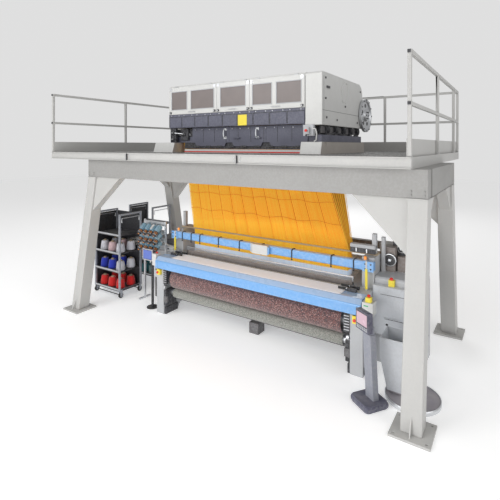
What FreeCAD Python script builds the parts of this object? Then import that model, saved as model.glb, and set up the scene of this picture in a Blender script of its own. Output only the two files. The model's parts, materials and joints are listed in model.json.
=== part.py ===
"""Power loom with an overhead jacquard head on a walk-on steel portal (millimetres, +Z up).

The origin is the middle of the footprint on the floor. +X runs along the loom to the weaver's
right, +Y runs from the weaver's side to the warp side.
"""

import FreeCAD
import Part
import Sketcher

import os
import re

V = FreeCAD.Vector
X_DIR, Y_DIR, Z_DIR = V(1, 0, 0), V(0, 1, 0), V(0, 0, 1)

# Driving dimensions: one sheet row each.
SIZES = {
    # walk-on deck and its railings
    "deck_left": -3360, "deck_right": 3120, "deck_front": -1770, "deck_back": 2140, "deck_top": 2653,
    "tread": 30, "fascia_high": 124, "fascia_thick": 12, "joist_wide": 80, "joist_pitch": 600,
    "open_left": -860, "open_right": 1775, "open_front": -930, "open_back": 80,
    "rail_high": 1100, "post_wide": 40, "mid_rail_drop": 530, "toe_high": 190, "toe_thick": 8,
    "side_post_gap": 1700, "side_post_last": 3340,
    # portal
    "portal_left": -2296, "portal_right": 3270, "beam_front": -1720, "portal_deep": 1980,
    "beam_high": 300, "column": 200, "splay_front": 320, "splay_back": 400,
    "foot": 380, "foot_thick": 25, "anchor_pitch": 300, "anchor_hole": 13,
    "gusset_long": 600, "gusset_drop": 580, "gusset_thick": 140, "end_gusset": 350,
    # jacquard head
    "head_left": -1060, "head_right": 1833, "head_front": -1030, "head_deep": 1700,
    "head_high": 1137, "pedestal_high": 169, "head_rail": 98, "end_case": 250, "end_cap": 50,
    "band_high": 460, "door_thick": 28, "window_high": 320, "window_sunk": 12, "panel_high": 223, "gap": 4,
    "disc_radius": 280, "disc_thick": 40, "disc_behind": 110, "disc_up": 627, "disc_shaft": 30,
    "harness_foot_z": 1320, "board_thick": 20, "harness_foot_left": -730, "harness_foot_right": 2100,
    "harness_foot_front": -720, "harness_foot_deep": 170, "harness_front": -865, "harness_back": 5,
    # loom
    "loom_mid": 745, "loom_wide": 3150, "cheek": 160, "loom_front": -1330, "loom_back": 230,
    "breast_high": 940, "cover_high": 190, "cover_deep": 250, "reed_y": -880,
    "sley_pivot_z": 260, "sley_pivot_y": -760, "sley_z": 800,
    "takeup_radius": 165, "takeup_y": -1165, "takeup_z": 580, "roll_radius": 78, "roll_y": -1180,
    "roll_z": 335, "journal": 30, "beam_y": 0, "beam_z": 520, "flange_radius": 400, "warp_radius": 340,
    "whip_y": 60, "whip_z": 1010, "whip_radius": 70, "rear_top": 1330, "run": 0.05, "seat": 0.3,
    "hinge_radius": 7, "hinge_drop": 21, "hinge_in": 17,
    "head_beam_z": 1170, "head_beam_high": 120, "head_beam_deep": 90, "head_beam_y": -870,
    "wheel_radius": 250, "wheel_z": 690, "wheel_thick": 30, "wheel_side": 20,
    "guard_room_right": 50, "guard_room_left": 35, "casing_front": -850, "casing_deep": 550,
    "casing_high": 1090, "guard_thick": 15,
    # stands beside the loom
    "bin_wide": 260, "bin_deep": 330, "bin_high": 560, "sheet_thick": 3, "bin_out": 250, "bin_y": -1510,
    "tray_out": 580, "tray_y": -1420, "tray_radius": 290, "tray_high": 40,
    "creel_wide": 720, "creel_deep": 520, "creel_high": 1520, "creel_out": 1710, "creel_y": -1300,
    "rear_creel_out": 1870, "rear_creel_back": 420, "caster": 50, "spool_radius": 85, "spool_high": 190,
    "shelf_pitch": 330, "tube": 30, "feeder_out": 200, "feeder_y": -1050, "feeder_z": 1080,
    "feeder_step": 125, "feeder_rise": 140,
    "console_out": 210, "console_y": -1760, "console_z": 800, "touch_out": 210, "touch_y": -1270,
    "touch_z": 850,
}

# Places worked out from the driving dimensions.
RULES = {
    "tread_z": "deck_top - tread", "joist_z": "deck_top - fascia_high",
    "beam_z0": "joist_z - beam_high", "beam_back": "beam_front + portal_deep",
    "head_z": "deck_top + pedestal_high", "module_z": "head_z + head_rail",
    "roof_z": "deck_top + head_high", "band_z": "roof_z - 30 - band_high",
    "panel_z": "band_z - gap - panel_high", "head_back": "head_front + head_deep",
    "case_left": "head_right - end_case", "cap_right": "head_left + end_cap",
    "inner_left": "loom_mid - loom_wide/2", "inner_right": "loom_mid + loom_wide/2",
    "outer_left": "inner_left - cheek", "outer_right": "inner_right + cheek",
    "casing_right": "outer_right + wheel_side + 2*wheel_radius + guard_room_right",
    "casing_left": "outer_left - wheel_side - 2*wheel_radius - guard_room_left",
    "bin_x": "outer_right + bin_out", "tray_x": "outer_right + tray_out",
    "console_x": "outer_right + console_out", "touch_x": "outer_left - touch_out",
    "feeder_x": "outer_left - feeder_out", "creel_x": "outer_left - creel_out",
    "rear_creel_x": "outer_left - rear_creel_out",
    "rear_creel_y": "beam_back - column - rear_creel_back",
    "disc_y": "head_back - 60 + disc_behind", "disc_z": "deck_top + disc_up",
    "rail_z": "deck_top + rail_high", "foot_back": "harness_foot_front + harness_foot_deep",
    "hinge_y": "head_front + hinge_in", "hinge_z": "roof_z - hinge_drop",
    "lower_left": "cap_right + 440", "lower_long": "case_left - cap_right - 450",
    "warp_climb": "(whip_z + whip_radius - breast_high)/(whip_y - reed_y - 80)",
    "drop": "sqrt((beam_y - whip_y)^2 + (beam_z - whip_z)^2)",
    "reach_y": "(beam_y - whip_y)/(drop)", "reach_z": "(beam_z - whip_z)/(drop)",
    "lean_cos": "(whip_radius - warp_radius)/(drop)", "lean_sin": "sqrt(1 - (lean_cos)^2)",
    "tangent_y": "(lean_cos)*(reach_y) - (lean_sin)*(reach_z)",
    "tangent_z": "(lean_cos)*(reach_z) + (lean_sin)*(reach_y)",
}

doc = FreeCAD.newDocument("power_loom")
sheet = doc.addObject("Spreadsheet::Sheet", "dims")
for row, (size_name, size_value) in enumerate(SIZES.items(), start=1):
    sheet.set(f"A{row}", size_name)
    sheet.set(f"B{row}", str(size_value))
    sheet.setAlias(f"B{row}", size_name)
doc.recompute()

nodes = []


# ---------------------------------------------------------------- helpers

def bound(rule):
    """Spell a size rule out for the sheet: names become cells, rule names become their rule."""
    def swap(match):
        word = match.group(0)
        if word in RULES:
            return f"({bound(RULES[word])})"
        return f"dims.{word}" if word in SIZES else word
    return re.sub(r"[A-Za-z_][A-Za-z_0-9]*", swap, str(rule))


def value(rule):
    """Read a size rule as a plain number of millimetres."""
    answer = sheet.evalExpression(bound(rule))
    return float(getattr(answer, "Value", answer))


def tie(item, **rules):
    """Bind an object's sizes to the sheet."""
    for prop, rule in rules.items():
        item.setExpression(prop, bound(rule))
    return item


def at(item, x, y, z, turn=None):
    """Place an object by three bound coordinates and an optional fixed turn."""
    if turn is not None:
        item.Placement = FreeCAD.Placement(V(), turn)
    for axis, rule in zip("xyz", (x, y, z)):
        item.setExpression(f"Placement.Base.{axis}", bound(rule))
    return item


def block(x, y, z, long, deep, high, turn=None):
    """Box from its low corner."""
    item = tie(doc.addObject("Part::Box", "block"), Length=long, Width=deep, Height=high)
    return at(item, x, y, z, turn)


def turn_to(direction):
    return FreeCAD.Rotation(Z_DIR, direction)


def rod(x, y, z, radius, long, direction=X_DIR):
    """Round bar from the middle of its first end."""
    item = tie(doc.addObject("Part::Cylinder", "rod"), Radius=radius, Height=long)
    return at(item, x, y, z, turn_to(direction))


def cone(x, y, z, low, high, long, direction=Z_DIR):
    """Tapered round piece."""
    item = tie(doc.addObject("Part::Cone", "cone"), Radius1=low, Radius2=high, Height=long)
    return at(item, x, y, z, turn_to(direction))


def fuse(*items):
    """One solid out of touching pieces."""
    item = doc.addObject("Part::MultiFuse", "fused")
    item.Shapes = list(items)
    item.Refine = True
    return item


def cut(base, *tools):
    """A piece less one or more cutters."""
    item = doc.addObject("Part::Cut", "cut")
    item.Base = base
    item.Tool = tools[0] if len(tools) == 1 else fuse(*tools)
    return item


def node(label, *items):
    """Name one sub-part; several items become a group of separate solids."""
    item = items[0]
    if len(items) > 1:
        item = doc.addObject("Part::Compound", label)
        item.Links = list(items)
    item.Label = label
    nodes.append(item)
    return item


def origin_plane(body, role):
    return next(feature for feature in body.Origin.OriginFeatures if feature.Role == role)


def draw(body, role, outline, holes=()):
    """Sketch a closed outline with round holes on one of the body's own planes."""
    sketch = body.newObject("Sketcher::SketchObject", "outline")
    sketch.AttachmentSupport = [(origin_plane(body, role), "")]
    sketch.MapMode = "FlatFace"
    corners = [(value(a), value(b)) for a, b in outline]
    for (ax, ay), (bx, by) in zip(corners, corners[1:] + corners[:1]):
        sketch.addGeometry(Part.LineSegment(V(ax, ay, 0), V(bx, by, 0)), False)
    count = len(corners)
    for i in range(count):
        sketch.addConstraint(Sketcher.Constraint("Coincident", i, 2, (i + 1) % count, 1))
    for i, rules in enumerate(outline):
        for kind, number, rule in zip(("DistanceX", "DistanceY"), corners[i], rules):
            index = sketch.addConstraint(Sketcher.Constraint(kind, -1, 1, i, 1, number))
            sketch.setExpression(f"Constraints[{index}]", bound(rule))
    for a, b, radius in holes:
        circle = sketch.addGeometry(Part.Circle(V(value(a), value(b), 0), Z_DIR, value(radius)), False)
        for kind, number, rule in (("DistanceX", value(a), a), ("DistanceY", value(b), b)):
            index = sketch.addConstraint(Sketcher.Constraint(kind, -1, 1, circle, 3, number))
            sketch.setExpression(f"Constraints[{index}]", bound(rule))
        index = sketch.addConstraint(Sketcher.Constraint("Radius", circle, value(radius)))
        sketch.setExpression(f"Constraints[{index}]", bound(radius))
    return sketch


def pad(role, outline, long, place=(0, 0, 0), holes=(), round_edges=None):
    """Pad an outline: +Z from XY_Plane, -Y from XZ_Plane, +X from YZ_Plane.

    round_edges is a list of (a, b, radius): the edge that runs along the pad at outline point
    (a, b) gets that radius.
    """
    body = doc.addObject("PartDesign::Body", "body")
    sketch = draw(body, role, outline, holes)
    block_up = body.newObject("PartDesign::Pad", "pad")
    block_up.Profile = sketch
    tie(block_up, Length=long)
    doc.recompute()
    shaped = block_up
    for a, b, radius in round_edges or ():
        edge = edge_at(shaped.Shape, role, (value(a), value(b)))
        fillet = body.newObject("PartDesign::Fillet", "round")
        fillet.Base = (shaped, [edge])
        tie(fillet, Radius=radius)
        doc.recompute()
        shaped = fillet
    return at(body, *place)


def edge_at(shape, role, corner):
    """Name of the straight edge that runs square to the sketch plane at one outline point."""
    for index, edge in enumerate(shape.Edges, start=1):
        flat = [(p.Point.y, p.Point.z) if role == "YZ_Plane" else
                (p.Point.x, p.Point.z) if role == "XZ_Plane" else (p.Point.x, p.Point.y)
                for p in edge.Vertexes]
        if len(flat) == 2 and all(abs(u - corner[0]) + abs(v - corner[1]) < 0.01 for u, v in flat):
            return f"Edge{index}"
    raise ValueError(f"no edge at {corner}")


def revolve(profile, place, direction=X_DIR):
    """Turned piece: profile is (along the axis, radius) pairs from one end on the axis to the other."""
    body = doc.addObject("PartDesign::Body", "turned")
    sketch = draw(body, "XZ_Plane", profile)
    turned = body.newObject("PartDesign::Revolution", "turn")
    turned.Profile = sketch
    turned.ReferenceAxis = (sketch, ["H_Axis"])
    turned.Angle = 360
    doc.recompute()
    return at(body, *place, FreeCAD.Rotation(X_DIR, direction))


# ---------------------------------------------------------------- portal

def columns():
    """Four square columns, splayed towards the front and the back."""
    made = []
    for x in ("portal_left", "portal_right - column"):
        for edge, splay in (("beam_front", "-splay_front"), ("beam_back - column", "splay_back")):
            made.append(pad("YZ_Plane", [
                (f"{edge}", "beam_z0"), (f"{edge} + column", "beam_z0"),
                (f"{edge} + column + {splay}", "foot_thick"), (f"{edge} + {splay}", "foot_thick"),
            ], "column", (x, 0, 0)))
    return made


def haunch(x, reach, edge, splay):
    """Box gusset between a beam and a column: it follows the column's splay."""
    inset = "(column - gusset_thick)/2"
    lean = f"(({splay}) * gusset_drop / (beam_z0 - foot_thick))"
    slab = pad("YZ_Plane", [
        (f"{edge} + {inset}", "beam_z0"), (f"{edge} + column - {inset}", "beam_z0"),
        (f"{edge} + column - {inset} + {lean}", "beam_z0 - gusset_drop"),
        (f"{edge} + {inset} + {lean}", "beam_z0 - gusset_drop"),
    ], "gusset_long", (x if reach > 0 else f"{x} - gusset_long", 0, 0))
    wedge = pad("XZ_Plane", [
        (0, "beam_z0"), (f"{reach} * gusset_long", "beam_z0"), (0, "beam_z0 - gusset_drop"),
    ], "portal_deep + splay_front + splay_back + foot * 2", (x, "beam_back + splay_back + foot", 0))
    common = doc.addObject("Part::Common", "haunch")
    common.Base = slab
    common.Tool = wedge
    return common


def haunches():
    """Eight gussets: one along and one across at each column."""
    made = []
    for x, reach in (("portal_left + column", 1), ("portal_right - column", -1)):
        for edge, splay in (("beam_front", "-splay_front"), ("beam_back - column", "splay_back")):
            made.append(haunch(x, reach, edge, splay))
    inset = "(column - gusset_thick)/2"
    for x in ("portal_left", "portal_right - column"):
        for edge, splay, way in (("beam_front + column", "-splay_front", 1),
                                 ("beam_back - column", "splay_back", -1)):
            lean = f"(({splay}) * end_gusset / (beam_z0 - foot_thick))"
            made.append(pad("YZ_Plane", [
                (edge, "beam_z0"), (f"{edge} + {way} * end_gusset", "beam_z0"),
                (f"{edge} + {lean}", "beam_z0 - end_gusset"),
            ], "gusset_thick", (f"{x} + {inset}", 0, 0)))
    return made


def foot_centres():
    """Middle of each base plate."""
    for x in ("portal_left + column/2", "portal_right - column/2"):
        yield x, "beam_front - splay_front + column/2 - 10"
        yield x, "beam_back + splay_back - column/2"


def base_plates():
    made = []
    for x, y in foot_centres():
        holes = [(f"{a} * anchor_pitch/2", f"{b} * anchor_pitch/2", "anchor_hole")
                 for a in (-1, 1) for b in (-1, 1)]
        made.append(pad("XY_Plane", [
            ("-foot/2", "-foot/2"), ("foot/2", "-foot/2"), ("foot/2", "foot/2"), ("-foot/2", "foot/2"),
        ], "foot_thick", (x, y, 0), holes))
    return made


node("portal_columns", *columns())
node("column_gussets", *haunches())
node("base_plates", *base_plates())
node("portal_beams",
     block("portal_left", "beam_front", "beam_z0", "portal_right - portal_left", "column", "beam_high"),
     block("portal_left", "beam_back - column", "beam_z0", "portal_right - portal_left", "column",
           "beam_high"),
     *[block(x, "beam_front + column", "beam_z0", wide, "portal_deep - 2*column", "beam_high")
       for x, wide in (("portal_left", "column"), ("portal_right - column", "column"),
                       ("open_left - 140", "120"), ("open_right + 120", "120"))])


# ---------------------------------------------------------------- deck

def tread_plates():
    """Floor plates round the opening for the harness, butted with small gaps."""
    inner = "fascia_thick"
    left, right = f"deck_left + {inner}", f"deck_right - {inner}"
    front, back = f"deck_front + {inner}", f"deck_back - {inner}"
    return [
        block(left, front, "tread_z", f"open_left - ({left})", f"({back}) - ({front})", "tread"),
        block("open_right", front, "tread_z", f"({right}) - open_right", f"({back}) - ({front})", "tread"),
        block("open_left", front, "tread_z", "open_right - open_left", f"open_front - ({front})", "tread"),
        block("open_left", "open_back", "tread_z", "open_right - open_left", f"({back}) - open_back",
              "tread"),
    ]


def joists():
    """Cross joists on the portal beams, with trimmers round the opening."""
    high = "fascia_high - tread"
    front, full = "deck_front + fascia_thick", "deck_back - deck_front - 2*fascia_thick"
    made = []
    for x in ("deck_left + fascia_thick", "deck_left + joist_pitch", "deck_left + 2*joist_pitch",
              "deck_left + 3*joist_pitch", "open_left - joist_wide", "open_right",
              "open_right + joist_pitch", "deck_right - fascia_thick - joist_wide"):
        made.append(block(x, front, "joist_z", "joist_wide", full, high))
    for y in ("open_front - joist_wide", "open_back"):
        made.append(block("open_left", y, "joist_z", "open_right - open_left", "joist_wide", high))
    for share in (0.25, 0.5, 0.75):
        x = f"open_left + (open_right - open_left) * {share} - joist_wide/2"
        made.append(block(x, front, "joist_z", "joist_wide",
                          "open_front - joist_wide - deck_front - fascia_thick", high))
        made.append(block(x, "open_back + joist_wide", "joist_z", "joist_wide",
                          "deck_back - fascia_thick - open_back - joist_wide", high))
    return made


def fascia():
    """Edge channels round the deck; the front one is in three lengths."""
    long = "deck_right - deck_left"
    third = f"({long})/3"
    made = [block(f"deck_left + {i} * {third}", "deck_front", "joist_z", third, "fascia_thick",
                  "fascia_high") for i in range(3)]
    made.append(block("deck_left", "deck_back - fascia_thick", "joist_z", long, "fascia_thick",
                      "fascia_high"))
    for x in ("deck_left", "deck_right - fascia_thick"):
        made.append(block(x, "deck_front + fascia_thick", "joist_z", "fascia_thick",
                          "deck_back - deck_front - 2*fascia_thick", "fascia_high"))
    return made


node("deck_plates", *tread_plates())
node("deck_frame", *joists(), *fascia())


# ---------------------------------------------------------------- railings

SIDE_POSTS = ("deck_front", "deck_front + side_post_gap", "deck_front + side_post_last",
              "deck_back - post_wide")
BACK_BAYS = 5
RAIL_LEVELS = ("rail_z - post_wide", "rail_z - mid_rail_drop - post_wide")
SIDE_XS = ("deck_left", "deck_right - post_wide")


def back_post_x(number):
    """Left edge of a post of the back railing, counted from the left corner."""
    return f"deck_left + {number} * (deck_right - deck_left - post_wide)/{BACK_BAYS}"


def posts():
    high = "rail_high"
    made = [block(x, y, "deck_top", "post_wide", "post_wide", high) for x in SIDE_XS for y in SIDE_POSTS]
    for number in range(1, BACK_BAYS):
        made.append(block(back_post_x(number), "deck_back - post_wide", "deck_top", "post_wide",
                          "post_wide", high))
    return made


def rails():
    """Top and middle rails, one length in each bay."""
    made = []
    for z in RAIL_LEVELS:
        for x in SIDE_XS:
            for near, far in zip(SIDE_POSTS, SIDE_POSTS[1:]):
                made.append(block(x, f"{near} + post_wide", z, "post_wide",
                                  f"({far}) - ({near}) - post_wide", "post_wide"))
        for number in range(BACK_BAYS):
            start = back_post_x(number)
            made.append(block(f"{start} + post_wide", "deck_back - post_wide", z,
                              f"({back_post_x(number + 1)}) - ({start}) - post_wide", "post_wide",
                              "post_wide"))
    return made


def toe_boards():
    """Kick plates inside the posts."""
    deep = "deck_back - deck_front - post_wide - toe_thick"
    return [
        block("deck_left + post_wide", "deck_front", "deck_top", "toe_thick", deep, "toe_high"),
        block("deck_right - post_wide - toe_thick", "deck_front", "deck_top", "toe_thick", deep,
              "toe_high"),
        block("deck_left + post_wide", "deck_back - post_wide - toe_thick", "deck_top",
              "deck_right - deck_left - 2*post_wide", "toe_thick", "toe_high"),
    ]


node("railings", *posts(), *rails())
node("toe_boards", *toe_boards())

# ---------------------------------------------------------------- jacquard head


def pedestal(x, wide, front, back):
    """Stand under one end of the head, sloped at the front."""
    slope = 50 if "head_front" in front else 0
    return pad("YZ_Plane", [
        (front, "deck_top"), (back, "deck_top"), (back, "head_z"), (f"{front} + {slope}", "head_z"),
    ], wide, (x, 0, 0))


def base_frame():
    """Carrying frame of the head, resting on the pedestals."""
    rails_made = [block("cap_right + 70", y, "head_z", "head_right - cap_right - 150", deep, "head_rail")
                  for y, deep in (("harness_front - 35", "30"), ("harness_back + 5", "50"),
                                  ("head_back - 110", "80"))]
    ends = [block(x, "head_front + 30", "head_z", "60", "head_deep - 60", "head_rail")
            for x in ("cap_right + 10", "head_right - 80")]
    return rails_made + ends


MODULES = 8


def hook_modules():
    """Row of hook housings that lift the harness."""
    wide = f"(head_right - cap_right - 160)/{MODULES}"
    return [block(f"cap_right + 72 + {i} * {wide}", "harness_front - 35", "module_z", f"{wide} - gap",
                  "harness_back - harness_front + 70", "128") for i in range(MODULES)]


def harness():
    """Fan of cords from the hook housings down to the comber board, as one tapering body."""
    body = doc.addObject("PartDesign::Body", "harness")
    top_z = value("module_z") - 0.3
    foot_z = value("harness_foot_z + board_thick") + 0.3
    sections = (
        (("harness_foot_left", "harness_foot_right"), "harness_foot_front",
         "harness_foot_front + harness_foot_deep", foot_z),
        (("cap_right + 180", "head_right - 180"), "harness_front", "harness_back", top_z),
    )
    sketches = []
    for (left, right), front, back, level in sections:
        sketch = draw(body, "XY_Plane", [(left, front), (right, front), (right, back), (left, back)])
        sketch.AttachmentOffset = FreeCAD.Placement(V(0, 0, level), FreeCAD.Rotation())
        sketches.append(sketch)
    sketches[0].setExpression("AttachmentOffset.Base.z", bound("harness_foot_z + board_thick + 0.3"))
    sketches[1].setExpression("AttachmentOffset.Base.z", bound("module_z - 0.3"))
    doc.recompute()
    loft = body.newObject("PartDesign::AdditiveLoft", "fan")
    loft.Profile = sketches[0]
    loft.Sections = [sketches[1]]
    loft.Ruled = True
    doc.recompute()
    return body


DOOR_SPANS = ((0.0, 0.405), (0.405, 0.645), (0.645, 1.0))
BAND_LONG = "case_left - cap_right - 2*gap"
WINDOWS = ((0.05, 0.40, 0.47, 0.95), (0.10, 0.90), (0.05, 0.43, 0.50, 0.95))


def door(number):
    """Top-hinged front door with its windows let into the face."""
    low, high = DOOR_SPANS[number]
    left = f"(cap_right + gap + ({BAND_LONG}) * {low})"
    wide = f"(({BAND_LONG}) * {high - low:.4f} - gap)"
    slab = block(left, "head_front", "band_z", wide, "door_thick",
                 "hinge_z - hinge_radius - seat - band_z")
    edges = WINDOWS[number]
    cutters = [block(f"{left} + {wide} * {a}", "head_front - 1", "band_z + (band_high - window_high)/2",
                     f"{wide} * {b - a:.4f}", "window_sunk + 1", "window_high")
               for a, b in zip(edges[::2], edges[1::2])]
    return cut(slab, *cutters), left, wide


hinges = []
for door_number, name in enumerate(("left", "middle", "right")):
    leaf, door_left, door_wide = door(door_number)
    node(f"head_door_{name}", leaf)
    for share in (0.15, 0.85):
        start = f"{door_left} + {door_wide} * {share} - 30"
        hinges.append(fuse(rod(start, "hinge_y", "hinge_z", "hinge_radius", 60),
                           block(start, "hinge_y", "hinge_z", 60, "door_thick + 6 - hinge_in", 6)))
node("door_hinges", *hinges)

node("head_pedestals",
     pedestal("head_left - 270", "open_left - 10 - head_left + 270", "head_front - 60", "head_back"),
     pedestal("open_right + 5", "head_right + 20 - open_right - 5", "open_front - 10", "head_back"),
     pedestal("head_right - 290", "310", "head_front - 100", "open_front - 10"))
node("hook_modules", *hook_modules())
node("harness_cords", harness())
node("comber_board",
     block("inner_left - cheek", "harness_foot_front - 15", "harness_foot_z", "loom_wide + 2*cheek",
           "harness_foot_deep + 30", "board_thick"))


def corner_posts():
    """Uprights that carry the roof and the front panels."""
    high = "roof_z - 30 - module_z"
    return [block(x, y, "module_z", 55, 55, high)
            for x in ("cap_right + 10", "case_left - 60") for y in ("head_front + 30", "head_back - 90")]


def panel_rail():
    """Rail between the front uprights, behind the flat panels."""
    return block("cap_right + 65", "head_front + 30", "panel_z + 60", "case_left - cap_right - 125", 40, 60)


node("head_frame", *base_frame(), *corner_posts(), panel_rail())
node("head_roof",
     block("cap_right", "head_front + door_thick + 6", "roof_z - 30", "case_left - cap_right",
           "head_deep - door_thick - 6", 30),
     block("cap_right", "head_back - 30", "module_z", "case_left - cap_right", 30,
           "roof_z - 30 - module_z"))
PANELS = (0.0, 0.36, 0.68, 1.0)


def upper_panel(low, high):
    """Flat dark panel under the doors."""
    return block(f"cap_right + gap + ({BAND_LONG}) * {low}", "head_front + gap", "panel_z",
                 f"({BAND_LONG}) * {high - low:.4f} - gap", "26", "panel_high")


def lower_panel(low, high):
    """Hanging dark panel whose bottom edge is notched at the ends."""
    wide = f"(lower_long * {high - low:.4f} - gap)"
    left = f"lower_left + lower_long * {low}"
    drop = "head_z - 62"
    return pad("XZ_Plane", [
        (0, f"{drop} + 60"), (60, f"{drop} + 60"), (90, drop), (f"{wide} - 90", drop),
        (f"{wide} - 60", f"{drop} + 60"), (wide, f"{drop} + 60"), (wide, "panel_z - gap"),
        (0, "panel_z - gap"),
    ], 20, (left, "harness_front - 35", 0))


def handle(share):
    """Bow handle on a lower panel."""
    x = f"lower_left + lower_long * {share}"
    y, z = "harness_front - 85", "head_z + 60"
    bar = block(x, y, z, 130, 14, 14)
    feet = [block(f"{x} + {shift}", f"{y} + 14", z, 14, 16, 14) for shift in (0, 116)]
    return fuse(bar, *feet)


node("head_panels", *[upper_panel(low, high) for low, high in zip(PANELS, PANELS[1:])],
     *[lower_panel(low, high) for low, high in zip(PANELS, PANELS[1:])], handle(0.40), handle(0.58))


def end_case():
    """Drive-end cabinet with a rounded upper rear corner, open towards the head."""
    outer = pad("YZ_Plane", [
        ("head_front - 5", "panel_z - 20"), ("head_back - 20", "panel_z - 20"),
        ("head_back - 20", "roof_z - 10"), ("head_front - 5", "roof_z - 10"),
    ], "end_case", ("case_left", 0, 0),
        round_edges=[("head_back - 20", "roof_z - 10", 180), ("head_front - 5", "roof_z - 10", 40)])
    hollow = block("case_left - 1", "head_front + 10", "panel_z - 5", "end_case - 14", "head_deep - 45",
                   "roof_z - panel_z - 205")
    return cut(outer, hollow)


node("drive_end_case", end_case())
node("far_end_cap", pad("XY_Plane", [
    ("head_left", "head_front + 90"), ("cap_right", "head_front"), ("cap_right", "head_back"),
    ("head_left", "head_back - 90"),
], "roof_z - 20 - panel_z", (0, 0, "panel_z"), round_edges=[("head_left", "head_front + 90", 60)]))
node("disc_bearing_box", cut(
    block("case_left + 2", "head_back - 20", "disc_z - 190", "end_case - 4", "240", "380"),
    rod("case_left + 1", "disc_y", "disc_z", "disc_shaft + run", "400")))
DISC_X = "head_right + 8"
node("drive_disc", revolve([
    (-278, 0), (-278, "disc_shaft"), (0, "disc_shaft"), (0, "disc_radius"), ("disc_thick", "disc_radius"),
    ("disc_thick", "disc_radius - 40"), (22, "disc_radius - 55"), (22, 90), (58, 80), (58, 0),
], (DISC_X, "disc_y", "disc_z")))

# ---------------------------------------------------------------- loom frame


def cheek(x):
    """Cast side frame with shaft bores; stands on the floor."""
    bores = [("takeup_y", "takeup_z", "journal + run"), ("roll_y", "roll_z", "journal + run"),
             ("sley_pivot_y", "sley_pivot_z", "journal + run"), ("beam_y", "beam_z", "journal + run"),
             ("whip_y", "whip_z", "journal + run")]
    return pad("YZ_Plane", [
        ("loom_front", 0), ("loom_front + 330", 0), ("loom_front + 420", 120), ("beam_y - 120", 120),
        ("beam_y - 60", 0), ("loom_back", 0), ("loom_back", 640), ("whip_y + 110", 760),
        ("whip_y + 110", "rear_top"), ("whip_y - 110", "rear_top"), ("whip_y - 110", "breast_high + 40"),
        ("foot_back + 20", "breast_high + 40"), ("foot_back + 20", "harness_foot_z"),
        ("head_beam_y", "harness_foot_z"), ("head_beam_y", "breast_high - 10"),
        ("loom_front - 45 + cover_deep", "breast_high - 10"),
        ("loom_front - 45 + cover_deep", "breast_high - cover_high"),
        ("loom_front", "breast_high - cover_high"),
    ], "cheek", (x, 0, 0), bores)


node("left_side_frame", cheek("inner_left - cheek"))
node("right_side_frame", cheek("inner_right"))
node("cross_members",
     block("inner_left", "sley_pivot_y - 270", 160, "loom_wide", 80, 100),
     block("loom_mid - 45", "sley_pivot_y - 340", 0, 160, 180, 160),
     block("inner_left", "sley_pivot_y + 90", 130, "loom_wide", 120, 120),
     block("inner_left", "whip_y - 50", "rear_top - 100", "loom_wide", 100, 100),
     block("loom_mid - 100", "sley_pivot_y + 90", 0, 200, 120, 130))
node("breast_beam_cover", pad("YZ_Plane", [
    ("loom_front - 50", "breast_high - cover_high"), ("loom_front - 50 + cover_deep",
                                                      "breast_high - cover_high"),
    ("loom_front - 50 + cover_deep", "breast_high - 8"), ("loom_front + 20", "breast_high - 8"),
    ("loom_front - 50", "breast_high - 70"),
], "loom_wide + 2*cheek - 20", ("inner_left - cheek + 10", 0, 0),
    round_edges=[("loom_front - 50", "breast_high - 70", 30)]))
node("temple_bar",
     block("inner_left", "reed_y - 213", "breast_high - 90", "loom_wide", 48, 72))
node("upper_beam",
     block("inner_left - cheek - 20", "head_beam_y - head_beam_deep", "head_beam_z",
           "loom_wide + 2*cheek + 40", "head_beam_deep", "head_beam_high"))
CLIPS = (0.02, 0.08, 0.14, 0.26, 0.38, 0.50, 0.66, 0.86, 0.97)
node("beam_fittings",
     *[block(f"inner_left + loom_wide * {share}", "head_beam_y - head_beam_deep - 8",
             "head_beam_z - 25", 22, 8,
             "head_beam_high + 25") for share in CLIPS],
     *[rod(x, "head_beam_y - head_beam_deep - 11 - seat", "breast_high - 10", 11,
           "head_beam_z + head_beam_high - breast_high + 30", Z_DIR)
       for x in ("inner_left - 90", "inner_right + 90")],
     *[rod(x, "head_beam_y - 50", "head_beam_z + head_beam_high", 18, 60, Z_DIR)
       for x in ("inner_left - 60", "inner_right + 60")])
node("woven_cloth",
     block("inner_left + 130", "loom_front + 35", "breast_high - 8 + seat", "loom_wide - 260",
           "reed_y - loom_front - 130", 3))


def warp_yarns():
    """Two thin sheets of warp: reed to whip roller, and whip roller down to the warp beam."""
    top_y, top_z = "whip_y", "whip_z + whip_radius * sqrt(1 + (warp_climb)^2) + seat"
    level = pad("YZ_Plane", [
        ("reed_y + 80", "breast_high - 2"), (top_y, top_z), (top_y, f"{top_z} + 3"),
        ("reed_y + 80", "breast_high + 1"),
    ], "loom_wide - 300", ("inner_left + 150", 0, 0))
    inner, outer = "seat + 0.5", "seat + 4"
    hanging = pad("YZ_Plane", [
        (f"{y} + ({radius} + {out}) * (tangent_y)", f"{z} + ({radius} + {out}) * (tangent_z)")
        for y, z, radius, out in (
            ("whip_y", "whip_z", "whip_radius", inner), ("beam_y", "beam_z", "warp_radius", inner),
            ("beam_y", "beam_z", "warp_radius", outer), ("whip_y", "whip_z", "whip_radius", outer))
    ], "loom_wide - 300", ("inner_left + 150", 0, 0))
    return level, hanging


node("warp_sheet", *warp_yarns())


def roller(label, y, z, radius, shoulder, extra=()):
    """Turned roller: body between the frames, journals in the frame bores."""
    return node(label, revolve([
        (0, 0), (0, "journal"), ("cheek + 6", "journal"), ("cheek + 6", shoulder),
        ("cheek + 120", shoulder), ("cheek + 120", radius),
        ("cheek + loom_wide - 120", radius), ("cheek + loom_wide - 120", shoulder),
        ("cheek + loom_wide - 6", shoulder), ("cheek + loom_wide - 6", "journal"),
        ("2*cheek + loom_wide", "journal"), ("2*cheek + loom_wide", 0),
    ], ("inner_left - cheek", y, z)), *extra)


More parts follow.
